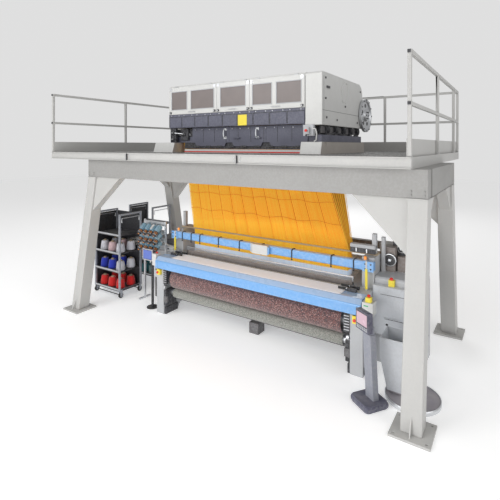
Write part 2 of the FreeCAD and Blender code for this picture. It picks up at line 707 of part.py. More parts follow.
roller("take_up_roller", "takeup_y", "takeup_z", "takeup_radius", 60)
roller("cloth_roll", "roll_y", "roll_z", "roll_radius", 45)
roller("whip_roller", "whip_y", "whip_z", "whip_radius", 50)
node("warp_beam", revolve([
    (0, 0), (0, "journal"), ("cheek + 6", "journal"), ("cheek + 6", 90), ("cheek + 90", 90),
    ("cheek + 90", "flange_radius"), ("cheek + 110", "flange_radius"), ("cheek + 110", "warp_radius"),
    ("cheek + loom_wide - 110", "warp_radius"), ("cheek + loom_wide - 110", "flange_radius"),
    ("cheek + loom_wide - 90", "flange_radius"), ("cheek + loom_wide - 90", 90),
    ("cheek + loom_wide - 6", 90), ("cheek + loom_wide - 6", "journal"),
    ("2*cheek + loom_wide", "journal"), ("2*cheek + loom_wide", 0),
], ("inner_left - cheek", "beam_y", "beam_z")))


def sley():
    """Rocking sley: shaft at the bottom, swords, and the beam that carries the reed."""
    swords = [block(f"inner_left + loom_wide * {share} - 25", "sley_pivot_y - 25", "sley_pivot_z - 40",
                    50, 50, "sley_z - sley_pivot_z - 20", None) for share in (0.12, 0.37, 0.63, 0.88)]
    shaft = rod("inner_left - cheek", "sley_pivot_y", "sley_pivot_z", "journal",
                "loom_wide + 2*cheek")
    beam = block("inner_left + 20", "sley_pivot_y - 175", "sley_z - 60", "loom_wide - 40", 200, 55)
    race = block("inner_left + 20", "reed_y - 42", "sley_z - 5", "loom_wide - 40", 74, 80)
    return fuse(shaft, beam, race, *swords)


node("sley", sley())
node("reed",
     block("inner_left + 110", "reed_y - 5", "sley_z + 75", "loom_wide - 220", 12, 165))


WHEEL_XS = {
    "left": "inner_left - cheek - wheel_side - wheel_radius",
    "right": "inner_right + cheek + wheel_side + wheel_radius",
}


def rapier_wheel(x):
    """Rapier tape wheel in front of a drive casing, carried on the casing's stub."""
    return revolve([
        (0, 0), (0, 55), (14, 55), (14, "wheel_radius"), ("14 + wheel_thick", "wheel_radius"),
        ("14 + wheel_thick", 70), ("26 + wheel_thick", 60), ("26 + wheel_thick", 0),
    ], (x, "casing_front - seat", "wheel_z"), -Y_DIR)


def rapier_guard(x, wide, outer_x):
    """Cover of a tape wheel: front sheet, top sheet and outer side sheet."""
    low = "wheel_z - wheel_radius - 40"
    high = "2*wheel_radius + 90"
    front = "casing_front - 95"
    return [
        block(x, front, low, wide, "guard_thick", high),
        block(x, front, f"{low} + {high}", wide, 95, "guard_thick"),
        block(outer_x, f"{front} + guard_thick", low, "guard_thick", "95 - guard_thick", high),
    ]


for side, x in WHEEL_XS.items():
    node(f"rapier_wheel_{side}", rapier_wheel(x))
node("rapier_guards",
     *rapier_guard("casing_left", "inner_left - cheek - casing_left", "casing_left"),
     *rapier_guard("inner_right + cheek", "casing_right - inner_right - cheek",
                   "casing_right - guard_thick"))

# ---------------------------------------------------------------- drive side


def casing(x, far_x):
    """Floor-standing drive casing beside the loom, rounded along its top edges."""
    return pad("YZ_Plane", [
        ("casing_front", 0), ("casing_front + casing_deep", 0),
        ("casing_front + casing_deep", "casing_high"), ("casing_front", "casing_high"),
    ], f"{far_x} - ({x})", (x, 0, 0),
        round_edges=[("casing_front", "casing_high", 40),
                     ("casing_front + casing_deep", "casing_high", 90)])


node("drive_casings",
     casing("inner_right + cheek", "casing_right"),
     casing("casing_left", "inner_left - cheek"))


def waste_box():
    """Open-topped sheet box whose left wall leans in towards its foot."""
    outer = pad("XZ_Plane", [
        (80, 70), ("bin_wide", 70), ("bin_wide", "70 + bin_high"), (0, "70 + bin_high"), (0, 420),
    ], "bin_deep", ("bin_x", "bin_y + bin_deep", 0))
    inner = pad("XZ_Plane", [
        ("80 + sheet_thick", "70 + sheet_thick"), ("bin_wide - sheet_thick", "70 + sheet_thick"),
        ("bin_wide - sheet_thick", "80 + bin_high"), ("sheet_thick", "80 + bin_high"),
        ("sheet_thick", 420),
    ], "bin_deep - 2*sheet_thick", ("bin_x", "bin_y + bin_deep - sheet_thick", 0))
    return cut(outer, inner)


node("waste_box", waste_box())
node("waste_tray",
     rod("tray_x", "tray_y", 0, "tray_radius", "tray_high", Z_DIR),
     block("bin_x + 90", "bin_y + 20", "tray_high", "bin_wide - 100", "bin_deep - 40", "70 - tray_high"))


FACING = FreeCAD.Rotation(Z_DIR, -35)


def console_foot():
    return pad("XY_Plane", [(-140, -140), (140, -140), (140, 140), (-140, 140)], 70,
               round_edges=[(-140, -140, 40), (140, -140, 40), (140, 140, 40), (-140, 140, 40)])


def console_arm():
    """Flat leaning arm with two ears for the screen's pin."""
    arm = pad("XZ_Plane", [
        (-50, 70), (80, 70), ("30", "console_z - 60"), ("-100", "console_z - 60"),
    ], 70, (0, 60, 0))
    ears = [block(shift, 0, "console_z - 60", 25, 50, 85) for shift in (-90, -5)]
    bores = rod(-95, 25, "console_z", "8 + run", 130)
    return cut(fuse(arm, *ears), bores)


def tilting_head(x, y, z, wide, tall, deep, knuckle):
    """Screen housing with the knuckle and pin that it tips on."""
    case = block(f"{x} - ({wide})/2", f"{y} - 35 - ({deep})", f"{z} - 20", wide, deep, tall)
    tongue = block(f"{x} - ({knuckle})/2", f"{y} - 36", f"{z} - 16", knuckle, 50, 32)
    pin = rod(f"{x} - ({knuckle})/2 - 25", y, z, 8, f"{knuckle} + 50")
    return fuse(case, tongue, pin)


at(node("console_stand", console_foot(), console_arm()), "console_x", "console_y", 0, FACING)
console_screen = doc.addObject("Part::Compound", "screen")
console_screen.Links = [tilting_head(-35, 25, "console_z", 210, 210, 60, 58)]
at(node("console_head", console_screen), "console_x", "console_y", 0, FACING)
TOUCH_AT = ("touch_x", "touch_y", "touch_z")
node("touch_post",
     rod("touch_x", "touch_y + 40", 12, 22, "touch_z - 60", Z_DIR),
     rod("touch_x", "touch_y + 40", 0, 100, 12, Z_DIR),
     *[cut(block(f"touch_x {side}", "touch_y - 20", "touch_z - 48", 12, 75, 70),
           rod("touch_x - 60", "touch_y", "touch_z", "8 + run", 120)) for side in ("- 46", "+ 34")],
     block("touch_x - 34", "touch_y + 18", "touch_z - 48", 68, 37, 12))
node("touch_head", tilting_head(*TOUCH_AT, 240, 190, 40, 60))

# ---------------------------------------------------------------- weft supply

FEEDER_COLUMNS, FEEDER_ROWS = 4, 3
FEEDER_AXIS = V(0, -0.766, -0.643)
BANK = f"feeder_step * {FEEDER_COLUMNS - 1}"


def feeder_body(column, row):
    """Drum feeder leaning forwards: mounting stem, motor, drum and brake ring."""
    return revolve([
        (-32, 0), (-32, 10), (0, 10), (0, 46), (95, 46), (95, 34), (190, 34), (190, 41), (225, 36),
        (225, 0),
    ], (f"feeder_x - {column} * feeder_step", "feeder_y", f"feeder_z + {row} * feeder_rise"),
        FEEDER_AXIS)


node("weft_feeders", *[feeder_body(column, row)
                       for column in range(FEEDER_COLUMNS) for row in range(FEEDER_ROWS)])
POSTS = (f"feeder_x - {BANK} - 90", "feeder_x + 60")
node("feeder_stand",
     *[block(x, "feeder_y - 90", 0, 30, 260, 30) for x in POSTS],
     *[block(x, "feeder_y + 31", 30, "tube", "tube", "feeder_z + 330") for x in POSTS],
     *[block(f"feeder_x - {BANK} - 60", "feeder_y + 31", f"feeder_z + {row} * feeder_rise - 5",
             f"{BANK} + 120", 22, 70) for row in range(FEEDER_ROWS)])

SHELVES = 4
CREEL_SPOOLS = 3


def creel_frame(x, y, wheeled):
    """Open rack: corner tubes and shelf trays, on wheel brackets or on plain feet."""
    base = "2*caster + 20"
    made = [block(f"{x} {sx}", f"{y} {sy}", base, "tube", "tube", f"creel_high - ({base})")
            for sx in ("", "+ creel_wide - tube") for sy in ("", "+ creel_deep - tube")]
    for shelf in range(SHELVES):
        made.append(block(f"{x} + tube", f"{y}", f"{base} + {shelf} * shelf_pitch",
                          "creel_wide - 2*tube", "creel_deep", 12))
    for side in ("", "+ creel_wide - tube"):
        made.append(block(f"{x} {side}", f"{y} + tube", "creel_high - tube", "tube",
                          "creel_deep - 2*tube", "tube"))
        made.append(block(f"{x} {side}", f"{y} + tube", base, "tube", "creel_deep - 2*tube", "tube"))
    if not wheeled:
        return made + [block(f"{x} {sx}", f"{y} {sy}", 0, "tube", "tube", base)
                       for sx in ("", "+ creel_wide - tube") for sy in ("", "+ creel_deep - tube")]
    for sx, lap in (("- 12", 30), ("+ tube", 0), ("+ creel_wide - tube - 12", 0), ("+ creel_wide", 30)):
        for sy in ("+ 20", "+ creel_deep - 60"):
            plate = block(f"{x} {sx}", f"{y} {sy}", "caster - 20", 12, 40,
                          f"{base} - caster + 20 + {lap}")
            made.append(cut(plate, rod(f"{x} {sx} - 1", f"{y} {sy} + 20", "caster", "8 + run", 14)))
    return made


def wheel_pair(x, y):
    """Two tread wheels on their axle."""
    axle = rod(f"{x} - 12", y, "caster", 8, "creel_wide + 24")
    treads = [rod(f"{x} + {shift}", y, "caster", "caster", 26) for shift in (2, "creel_wide - 28")]
    return fuse(axle, *treads)


def spools(x, y):
    """Yarn packages standing on the shelves."""
    made = []
    for shelf in range(SHELVES - 1):
        for place in range(CREEL_SPOOLS):
            for row in range(2):
                made.append(cone(f"{x} + 130 + {place} * 225", f"{y} + 135 + {row} * 240",
                                 f"2*caster + 32.3 + {shelf} * shelf_pitch", "spool_radius",
                                 "spool_radius - 25", "spool_high"))
    return made


node("creel_trolley", *creel_frame("creel_x", "creel_y", True))
node("creel_stand", *creel_frame("rear_creel_x", "rear_creel_y", False))
node("yarn_packages", *spools("creel_x", "creel_y"), *spools("rear_creel_x", "rear_creel_y"))
node("trolley_wheels_near", wheel_pair("creel_x", "creel_y + 40"))
node("trolley_wheels_far", wheel_pair("creel_x", "creel_y + creel_deep - 40"))

# ---------------------------------------------------------------- stop buttons and lamps


def stop_box(x, y, z):
    """Stop-button housing with a blind bore in its front face."""
    case = block(f"{x} - 32", y, f"{z} - 45", 64, 50, 90)
    bore = rod(x, f"{y} - 1", z, "9 + run", 33, Y_DIR)
    return cut(case, bore)


def stop_button(x, y, z):
    """Mushroom button with its stem."""
    stem = rod(x, f"{y} - 14", z, 9, 38, Y_DIR)
    return fuse(stem, rod(x, f"{y} - 26", z, 19, 14, Y_DIR))


STOPS = {
    "left": ("inner_left - cheek/2", "loom_front - 50", "breast_high - cover_high - 60"),
    "right": ("inner_right + cheek/2", "loom_front - 50", "breast_high - cover_high - 60"),
    "head": ("case_left + 62", "head_front - 94", "panel_z - 100"),
}
node("stop_boxes", *[stop_box(*place) for place in STOPS.values()],
     block("case_left - 10", "head_front - 44", "panel_z - 170", 150, 60, 150))
for name, place in STOPS.items():
    node(f"stop_button_{name}", stop_button(*place))

# ---------------------------------------------------------------- checks and export

doc.recompute()
faults = [item.Label for item in doc.Objects if {"Invalid", "Error"} & set(item.State)]
faults += [item.Label for item in nodes if item.Shape.isNull() or not item.Shape.isValid()]
if faults:
    raise RuntimeError(f"failed pieces: {faults}")
os.makedirs("parts", exist_ok=True)
for item in nodes:
    item.Shape.exportStep(f"parts/{item.Label}.step")
print(len(nodes), "nodes written")
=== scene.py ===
"""Looks of the power loom with its overhead jacquard head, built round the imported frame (metres)."""

import json
import logging
import random
from collections.abc import Callable, Iterable, Sequence
from dataclasses import dataclass, field
from enum import Enum
from math import cos, pi, radians, sin, tau

import bmesh
import bpy
from mathutils import Matrix, Vector

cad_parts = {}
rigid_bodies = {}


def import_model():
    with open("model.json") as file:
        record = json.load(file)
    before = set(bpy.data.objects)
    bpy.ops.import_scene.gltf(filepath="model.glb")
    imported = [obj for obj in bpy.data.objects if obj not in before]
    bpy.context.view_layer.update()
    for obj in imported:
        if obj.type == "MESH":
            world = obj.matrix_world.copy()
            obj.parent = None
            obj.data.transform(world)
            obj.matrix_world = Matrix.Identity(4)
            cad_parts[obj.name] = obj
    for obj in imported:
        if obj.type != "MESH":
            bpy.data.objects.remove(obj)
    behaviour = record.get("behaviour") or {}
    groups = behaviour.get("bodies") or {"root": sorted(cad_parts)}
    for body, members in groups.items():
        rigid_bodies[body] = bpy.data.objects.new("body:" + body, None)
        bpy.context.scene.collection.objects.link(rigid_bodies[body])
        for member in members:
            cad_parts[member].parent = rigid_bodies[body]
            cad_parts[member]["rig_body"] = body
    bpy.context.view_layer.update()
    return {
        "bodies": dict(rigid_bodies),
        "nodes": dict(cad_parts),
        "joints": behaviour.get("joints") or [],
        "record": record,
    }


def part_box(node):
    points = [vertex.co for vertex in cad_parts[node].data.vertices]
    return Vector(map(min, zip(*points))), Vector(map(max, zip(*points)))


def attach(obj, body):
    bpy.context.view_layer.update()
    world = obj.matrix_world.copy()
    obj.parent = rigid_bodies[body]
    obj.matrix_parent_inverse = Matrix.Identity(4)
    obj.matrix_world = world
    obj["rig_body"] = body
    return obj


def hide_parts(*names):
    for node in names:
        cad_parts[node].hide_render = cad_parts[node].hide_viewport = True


LOG = logging.getLogger("power_loom")
Point = Sequence[float]
Colour = tuple[float, float, float]
Socket, Tree, Item = bpy.types.NodeSocket, bpy.types.NodeTree, bpy.types.Object
X_DIR, Y_DIR, Z_DIR = Vector((1, 0, 0)), Vector((0, 1, 0)), Vector((0, 0, 1))
MACHINE = "machine"


# ---- shader groups

class ShaderGroup:
    """A shader node group with named sockets, built once and shared by the materials."""

    def __init__(self, name: str, inputs: dict[str, object], outputs: dict[str, str]) -> None:
        """Make the empty group.

        Args:
            name: Name of the group.
            inputs: Default value of each input; a tuple makes a colour socket.
            outputs: Socket type word of each output: Color, Float or Vector.
        """
        self.tree = bpy.data.node_groups.new(name, "ShaderNodeTree")
        for label, start in inputs.items():
            kind = "NodeSocketColor" if isinstance(start, tuple) else "NodeSocketFloat"
            socket = self.tree.interface.new_socket(name=label, in_out="INPUT", socket_type=kind)
            socket.default_value = (*start, 1.0) if isinstance(start, tuple) else start
        for label, kind in outputs.items():
            self.tree.interface.new_socket(name=label, in_out="OUTPUT", socket_type=f"NodeSocket{kind}")
        self.given = self.tree.nodes.new("NodeGroupInput")
        self.result = self.tree.nodes.new("NodeGroupOutput")

    def add(self, kind: str, **settings: object) -> bpy.types.Node:
        """Add a node and set its properties."""
        made = self.tree.nodes.new(kind)
        for label, setting in settings.items():
            setattr(made, label, setting)
        return made

    def feed(self, target: Socket, source: object) -> None:
        """Give a socket a number or link it to another socket."""
        if isinstance(source, Socket):
            self.tree.links.new(source, target)
        else:
            target.default_value = source

    def sum(self, operation: str, first: object, second: object = 0.0) -> Socket:
        """Work out a number from one or two others.

        Args:
            operation: Word of the Math node, such as ADD.
            first: Number or socket.
            second: Number or socket.

        Returns:
            The socket with the answer.
        """
        made = self.add("ShaderNodeMath", operation=operation)
        self.feed(made.inputs[0], first)
        self.feed(made.inputs[1], second)
        return made.outputs[0]

    def times(self, first: object, second: object) -> Socket:
        """Multiply two numbers or sockets."""
        return self.sum("MULTIPLY", first, second)

    def plus(self, first: object, second: object) -> Socket:
        """Add two numbers or sockets."""
        return self.sum("ADD", first, second)

    def mixed(self, share: object, first: object, second: object) -> Socket:
        """Mix two colours by a share and return the colour's socket."""
        made = self.add("ShaderNodeMix", data_type="RGBA", clamp_factor=True)
        for index, source in ((0, share), (6, first), (7, second)):
            self.feed(made.inputs[index], source)
        return made.outputs[2]

    def noise(self, scale: object, detail: float = 3.0, stretch: Point = (1, 1, 1)) -> Socket:
        """Noise on Object coordinates.

        Args:
            scale: Number or socket, in cells a metre.
            detail: Octaves of the noise.
            stretch: How much each axis is scaled first.

        Returns:
            The socket with a value about one half.
        """
        place = self.add("ShaderNodeTexCoord").outputs["Object"]
        if tuple(stretch) != (1, 1, 1):
            mapping = self.add("ShaderNodeMapping")
            mapping.inputs["Scale"].default_value = stretch
            self.feed(mapping.inputs["Vector"], place)
            place = mapping.outputs[0]
        made = self.add("ShaderNodeTexNoise")
        self.feed(made.inputs["Vector"], place)
        self.feed(made.inputs["Scale"], scale)
        made.inputs["Detail"].default_value = detail
        return made.outputs[0]

    def ranged(self, source: object, low: float, high: float) -> Socket:
        """Stretch the band from low to high over 0 to 1, and clamp it."""
        made = self.add("ShaderNodeMapRange", clamp=True)
        self.feed(made.inputs["Value"], source)
        made.inputs["From Min"].default_value = low
        made.inputs["From Max"].default_value = high
        return made.outputs[0]

    def done(self, **sources: Socket) -> Tree:
        """Link the outputs, named without spaces, and return the finished tree."""
        for label, source in sources.items():
            self.feed(self.result.inputs[label], source)
        return self.tree


class Pattern(Enum):
    """Which shader group a finish is drawn with."""

    PAINT = "soiled_paint"
    BRUSHED = "brushed_metal"
    CAST = "rough_casting"
    CLOTH = "figured_cloth"
    THREADS = "thread_layer"
    WOUND = "wound_yarn"


def axis_part(group: ShaderGroup, axis: int) -> Socket:
    """One Object coordinate in metres: 0 is X, 1 is Y and 2 is Z."""
    split = group.add("ShaderNodeSeparateXYZ")
    group.feed(split.inputs[0], group.add("ShaderNodeTexCoord").outputs["Object"])
    return split.outputs[axis]


def wave(group: ShaderGroup, axis: int, pitch: object) -> Socket:
    """Sine of one Object coordinate between 0 and 1, with that many turns a metre."""
    turned = group.times(group.times(axis_part(group, axis), pitch), tau)
    return group.plus(group.times(group.sum("SINE", turned), 0.5), 0.5)


def common_inputs() -> dict[str, object]:
    """Sockets that every finish group has."""
    return {"Tone": (0.8, 0.8, 0.8), "Shade": (0.5, 0.5, 0.5), "Wear": (0.4, 0.4, 0.4), "Scale": 6.0,
        "Mottle": 0.3, "Rough": 0.45, "Swing": 0.12, "Grain": 500.0, "Worn": 0.3}


RESULTS = {"Colour": "Color", "Roughness": "Float", "Height": "Float"}


def edge_wear(group: ShaderGroup, base: Socket) -> Socket:
    """Rub the colour thin along the outer edges, broken up by noise."""
    sharp = group.ranged(group.add("ShaderNodeNewGeometry").outputs["Pointiness"], 0.53, 0.6)
    broken = group.times(sharp, group.ranged(group.noise(38.0, 4.0), 0.42, 0.62))
    return group.mixed(group.times(broken, group.given.outputs["Worn"]), base,
        group.given.outputs["Wear"])


def settle_dust(group: ShaderGroup, base: Socket) -> Socket:
    """Lay a thin film of lint on faces that look up."""
    split = group.add("ShaderNodeSeparateXYZ")
    group.feed(split.inputs[0], group.add("ShaderNodeNewGeometry").outputs["Normal"])
    facing = group.ranged(split.outputs[2], 0.6, 1.0)
    film = group.times(facing, group.ranged(group.noise(9.0, 5.0), 0.35, 0.85))
    return group.mixed(group.times(film, 0.3), base, (0.62, 0.6, 0.56, 1.0))


def paint_group() -> Tree:
    """Sprayed paint: cloudy tone, orange peel, rubbed edges and lint."""
    group = ShaderGroup(Pattern.PAINT.value, common_inputs(), RESULTS)
    given = group.given.outputs
    cloud = group.ranged(group.noise(given["Scale"], 5.0), 0.32, 0.7)
    base = group.mixed(group.times(cloud, given["Mottle"]), given["Tone"], given["Shade"])
    peel = group.noise(given["Grain"], 2.0)
    rough = group.plus(given["Rough"], group.times(cloud, given["Swing"]))
    return group.done(Colour=settle_dust(group, edge_wear(group, base)), Roughness=rough, Height=peel)


def brushed_group() -> Tree:
    """Turned or drawn metal with fine streaks along X and smudges."""
    group = ShaderGroup(Pattern.BRUSHED.value, common_inputs(), RESULTS)
    given = group.given.outputs
    streak = group.noise(given["Grain"], 3.0, (0.03, 1, 1))
    smudge = group.ranged(group.noise(given["Scale"], 4.0), 0.38, 0.66)
    base = group.mixed(group.times(group.times(streak, smudge), given["Mottle"]), given["Tone"],
        given["Shade"])
    rough = group.plus(given["Rough"], group.times(smudge, given["Swing"]))
    return group.done(Colour=edge_wear(group, base), Roughness=rough, Height=streak)


def casting_group() -> Tree:
    """Sand casting or hard plastic: coarse skin with oily patches."""
    group = ShaderGroup(Pattern.CAST.value, common_inputs(), RESULTS)
    given = group.given.outputs
    skin = group.noise(given["Grain"], 4.0)
    oil = group.ranged(group.noise(given["Scale"], 4.0), 0.45, 0.62)
    base = group.mixed(group.times(oil, given["Mottle"]), given["Tone"], given["Shade"])
    rough = group.sum("SUBTRACT", given["Rough"], group.times(oil, given["Swing"]))
    return group.done(Colour=settle_dust(group, edge_wear(group, base)), Roughness=rough, Height=skin)


def cloth_group() -> Tree:
    """Figured cloth: a weave of warp and weft with scattered figures in three colours."""
    group = ShaderGroup(Pattern.CLOTH.value, common_inputs(), RESULTS)
    given = group.given.outputs
    figures = group.add("ShaderNodeTexVoronoi")
    group.feed(figures.inputs["Vector"], group.add("ShaderNodeTexCoord").outputs["Object"])
    group.feed(figures.inputs["Scale"], given["Scale"])
    petal = group.ranged(group.noise(group.times(given["Scale"], 1.7), 3.0), 0.44, 0.56)
    spot = group.ranged(figures.outputs["Distance"], 0.28, 0.42)
    base = group.mixed(petal, given["Tone"], given["Shade"])
    base = group.mixed(group.times(group.sum("SUBTRACT", 1.0, spot), given["Worn"]), base, given["Wear"])
    weft = group.noise(given["Grain"], 2.0, (0.12, 1, 1))
    warp = wave(group, 0, given["Grain"])
    thread = group.times(warp, weft)
    base = group.mixed(group.times(thread, given["Mottle"]), base, given["Shade"])
    rough = group.plus(given["Rough"], group.times(thread, given["Swing"]))
    return group.done(Colour=base, Roughness=rough, Height=thread)


def thread_group() -> Tree:
    """A layer of separate threads: each has its own tone, and knots make faint wavy bands."""
    group = ShaderGroup(Pattern.THREADS.value, common_inputs(), RESULTS)
    given = group.given.outputs
    own = group.add("ShaderNodeAttribute", attribute_name="tone").outputs["Fac"]
    sway = group.times(group.noise(1.6, 2.0, (1, 0.3, 0.1)), 0.35)
    height = group.plus(axis_part(group, 2), sway)
    rise = group.sum("SINE", group.times(height, given["Scale"]))
    band = group.ranged(rise, 0.55, 1.0)
    share = group.plus(group.times(own, given["Mottle"]), group.times(band, given["Worn"]))
    twist = group.noise(given["Grain"], 1.0)
    rough = group.plus(given["Rough"], group.times(twist, given["Swing"]))
    return group.done(Colour=group.mixed(share, given["Tone"], given["Shade"]), Roughness=rough,
        Height=twist)


def wound_group() -> Tree:
    """Cross-wound yarn: two crossing sets of fine ridges round a package or a beam."""
    group = ShaderGroup(Pattern.WOUND.value, common_inputs(), RESULTS)
    given = group.given.outputs
    lay = group.noise(given["Grain"], 2.0, (1, 1, 0.25))
    cross = group.noise(given["Grain"], 2.0, (0.25, 1, 1))
    ridge = group.times(lay, cross)
    cloud = group.ranged(group.noise(given["Scale"], 3.0), 0.35, 0.65)
    share = group.plus(group.times(ridge, given["Mottle"]), group.times(cloud, given["Worn"]))
    rough = group.plus(given["Rough"], group.times(ridge, given["Swing"]))
    return group.done(Colour=group.mixed(share, given["Tone"], given["Shade"]), Roughness=rough,
        Height=ridge)


GROUP_MAKERS: dict[Pattern, Callable[[], Tree]] = {Pattern.PAINT: paint_group,
    Pattern.BRUSHED: brushed_group, Pattern.CAST: casting_group, Pattern.CLOTH: cloth_group,
    Pattern.THREADS: thread_group, Pattern.WOUND: wound_group}


# ---- finishes

@dataclass(frozen=True)
class Finish:
    """One surface finish: its colours and how the shared group draws them."""

    name: str
    tone: Colour
    shade: Colour
    pattern: Pattern = Pattern.PAINT
    wear: Colour = (0.42, 0.42, 0.42)
    scale: float = 5.0
    mottle: float = 0.35
    rough: float = 0.42
    swing: float = 0.14
    grain: float = 420.0
    worn: float = 0.35
    bump: float = 0.0004
    metal: float = 0.0
    coat: float = 0.0
    sheen: float = 0.0
    # Emission strength: the own light of lamps and screens, and painted light on the cords, healds and
    # pale cloth.
    glow: float = 0.0

    def material(self) -> bpy.types.Material:
        """Return the material of this finish, made the first time it is asked for."""
        ready = bpy.data.materials.get(self.name)
        if ready:
            return ready
        made = bpy.data.materials.new(self.name)
        made.use_nodes = True
        nodes, links = made.node_tree.nodes, made.node_tree.links
        shader = nodes["Principled BSDF"]
        group = nodes.new("ShaderNodeGroup")
        group.node_tree = (bpy.data.node_groups.get(self.pattern.value) or GROUP_MAKERS[self.pattern]())
        for label, colour in (("Tone", self.tone), ("Shade", self.shade), ("Wear", self.wear)):
            group.inputs[label].default_value = (*colour, 1.0)
        for label, number in (("Scale", self.scale), ("Mottle", self.mottle), ("Rough", self.rough),
                ("Swing", self.swing), ("Grain", self.grain), ("Worn", self.worn)):
            group.inputs[label].default_value = number
        bump = nodes.new("ShaderNodeBump")
        bump.inputs["Distance"].default_value = self.bump
        bump.inputs["Strength"].default_value = 1.0
        for source, target in (("Colour", shader.inputs["Base Color"]),
                ("Roughness", shader.inputs["Roughness"]), ("Height", bump.inputs["Height"])):
            links.new(group.outputs[source], target)
        links.new(bump.outputs["Normal"], shader.inputs["Normal"])
        for label, number in (("Metallic", self.metal), ("Coat Weight", self.coat),
                ("Coat Roughness", 0.12), ("Sheen Weight", self.sheen)):
            shader.inputs[label].default_value = number
        if self.glow:
            links.new(group.outputs["Colour"], shader.inputs["Emission Color"])
            shader.inputs["Emission Strength"].default_value = self.glow
        return made


WHITE = Finish("white_enamel", (0.62, 0.62, 0.605), (0.55, 0.545, 0.53), rough=0.38, coat=0.15,
    mottle=0.2, bump=0.0001, worn=0.2)
DECK_WHITE = Finish("portal_enamel", (0.5, 0.495, 0.48), (0.44, 0.435, 0.42), rough=0.44, scale=1.2,
    mottle=0.25, bump=0.0001, worn=0.25)
FASCIA = Finish("beam_enamel", (0.3, 0.295, 0.285), (0.25, 0.245, 0.235), rough=0.46, scale=1.2,
    mottle=0.3, bump=0.0001, worn=0.25)
# Darker beige for the pedestal sides: painted shade on faces turned from the light; the fronts keep the
# white.
PEDESTAL_SHADE = Finish("pedestal_painted_shade", (0.42, 0.385, 0.35), (0.35, 0.32, 0.29), rough=0.44, mottle=0.25)
GREY = Finish("grey_enamel", (0.48, 0.49, 0.51), (0.42, 0.43, 0.445), rough=0.4, coat=0.1, mottle=0.25,
    bump=0.0001)
ANTHRACITE = Finish("anthracite_enamel", (0.105, 0.108, 0.15), (0.07, 0.072, 0.1), rough=0.42,
    wear=(0.3, 0.3, 0.34), worn=0.25)
# Paler blue for the top faces of the blue covers: a painted highlight where light falls from above.
BLUE_HIGHLIGHT = Finish("blue_enamel_painted_highlight", (0.38, 0.53, 0.76), (0.31, 0.46, 0.7), rough=0.22, coat=0.5,
    mottle=0.2, worn=0.1, bump=0.0001)
BLUE = Finish("blue_enamel", (0.15, 0.37, 0.71), (0.135, 0.34, 0.67), rough=0.26, coat=0.45, mottle=0.2,
    bump=0.0001, wear=(0.6, 0.68, 0.8), worn=0.3)
BLACK = Finish("black_enamel", (0.02, 0.02, 0.024), (0.045, 0.044, 0.046), Pattern.CAST, rough=0.46,
    wear=(0.22, 0.22, 0.24), worn=0.45)
PANEL_BLACK = Finish("black_panel", (0.03, 0.03, 0.034), (0.022, 0.022, 0.026), rough=0.5, mottle=0.2,
    wear=(0.2, 0.2, 0.22), worn=0.2)
TREAD = Finish("tread_plate", (0.16, 0.155, 0.15), (0.1, 0.098, 0.095), Pattern.CAST, rough=0.52,
    wear=(0.45, 0.45, 0.44), worn=0.7, scale=3.0, grain=220.0, bump=0.0012)
STEEL = Finish("bright_steel", (0.62, 0.63, 0.65), (0.34, 0.34, 0.36), Pattern.BRUSHED, rough=0.24,
    metal=1.0, wear=(0.8, 0.8, 0.82), bump=0.00012)
ALUMINIUM = Finish("aluminium", (0.66, 0.67, 0.69), (0.48, 0.49, 0.51), Pattern.BRUSHED, rough=0.36,
    metal=0.85, bump=0.0002)
CASTING = Finish("grey_casting", (0.36, 0.37, 0.39), (0.24, 0.24, 0.25), Pattern.CAST, rough=0.55,
    grain=260.0, bump=0.0012)
FRAME_PAINT = Finish("frame_enamel", (0.46, 0.47, 0.485), (0.36, 0.365, 0.38), rough=0.42, mottle=0.25,
    bump=0.0002)
DARK_CABINET = Finish("dark_cabinet", (0.125, 0.12, 0.125), (0.075, 0.072, 0.075), rough=0.45,
    wear=(0.4, 0.4, 0.4))
GLASS = Finish("smoked_pane", (0.2, 0.17, 0.162), (0.15, 0.13, 0.126), rough=0.34, coat=0.08, worn=0.0,
    bump=0.00005, swing=0.05)
RUBBER = Finish("black_rubber", (0.018, 0.018, 0.018), (0.035, 0.034, 0.033), Pattern.CAST, rough=0.75,
    worn=0.1)
RED = Finish("red_plastic", (0.62, 0.018, 0.014), (0.46, 0.012, 0.012), rough=0.28, coat=0.3,
    wear=(0.8, 0.2, 0.18))
YELLOW = Finish("yellow_plastic", (0.86, 0.62, 0.02), (0.72, 0.48, 0.02), rough=0.34, coat=0.2,
    wear=(0.9, 0.8, 0.4))
AMBER = Finish("amber_lens", (0.92, 0.3, 0.02), (0.8, 0.22, 0.01), rough=0.18, coat=0.5, glow=0.12)
GREEN = Finish("green_tag", (0.05, 0.42, 0.16), (0.04, 0.32, 0.12), rough=0.4)
TEAL = Finish("feeder_housing", (0.19, 0.34, 0.44), (0.12, 0.24, 0.33), rough=0.3, coat=0.3,
    wear=(0.5, 0.62, 0.7))
CREAM = Finish("cream_strip", (0.7, 0.62, 0.48), (0.58, 0.5, 0.38), rough=0.5)
DUN = Finish("dun_lacquer", (0.26, 0.22, 0.2), (0.18, 0.15, 0.14), rough=0.5)
DOVE = Finish("tray_top", (0.3, 0.28, 0.31), (0.22, 0.2, 0.22), rough=0.55)
BOARD = Finish("comber_wood", (0.48, 0.36, 0.22), (0.34, 0.24, 0.14), Pattern.CAST, rough=0.6,
    grain=160.0)
SCREEN_ROSE = Finish("terminal_screen", (0.5, 0.34, 0.4), (0.42, 0.3, 0.36), rough=0.14, coat=0.5,
    glow=0.25, worn=0.0)
SCREEN_BLUE = Finish("touch_screen", (0.07, 0.12, 0.42), (0.05, 0.09, 0.32), rough=0.12, coat=0.6,
    glow=0.25, worn=0.0)
SCREEN_FRAME = Finish("terminal_housing", (0.085, 0.085, 0.13), (0.055, 0.055, 0.085), Pattern.CAST,
    rough=0.42)
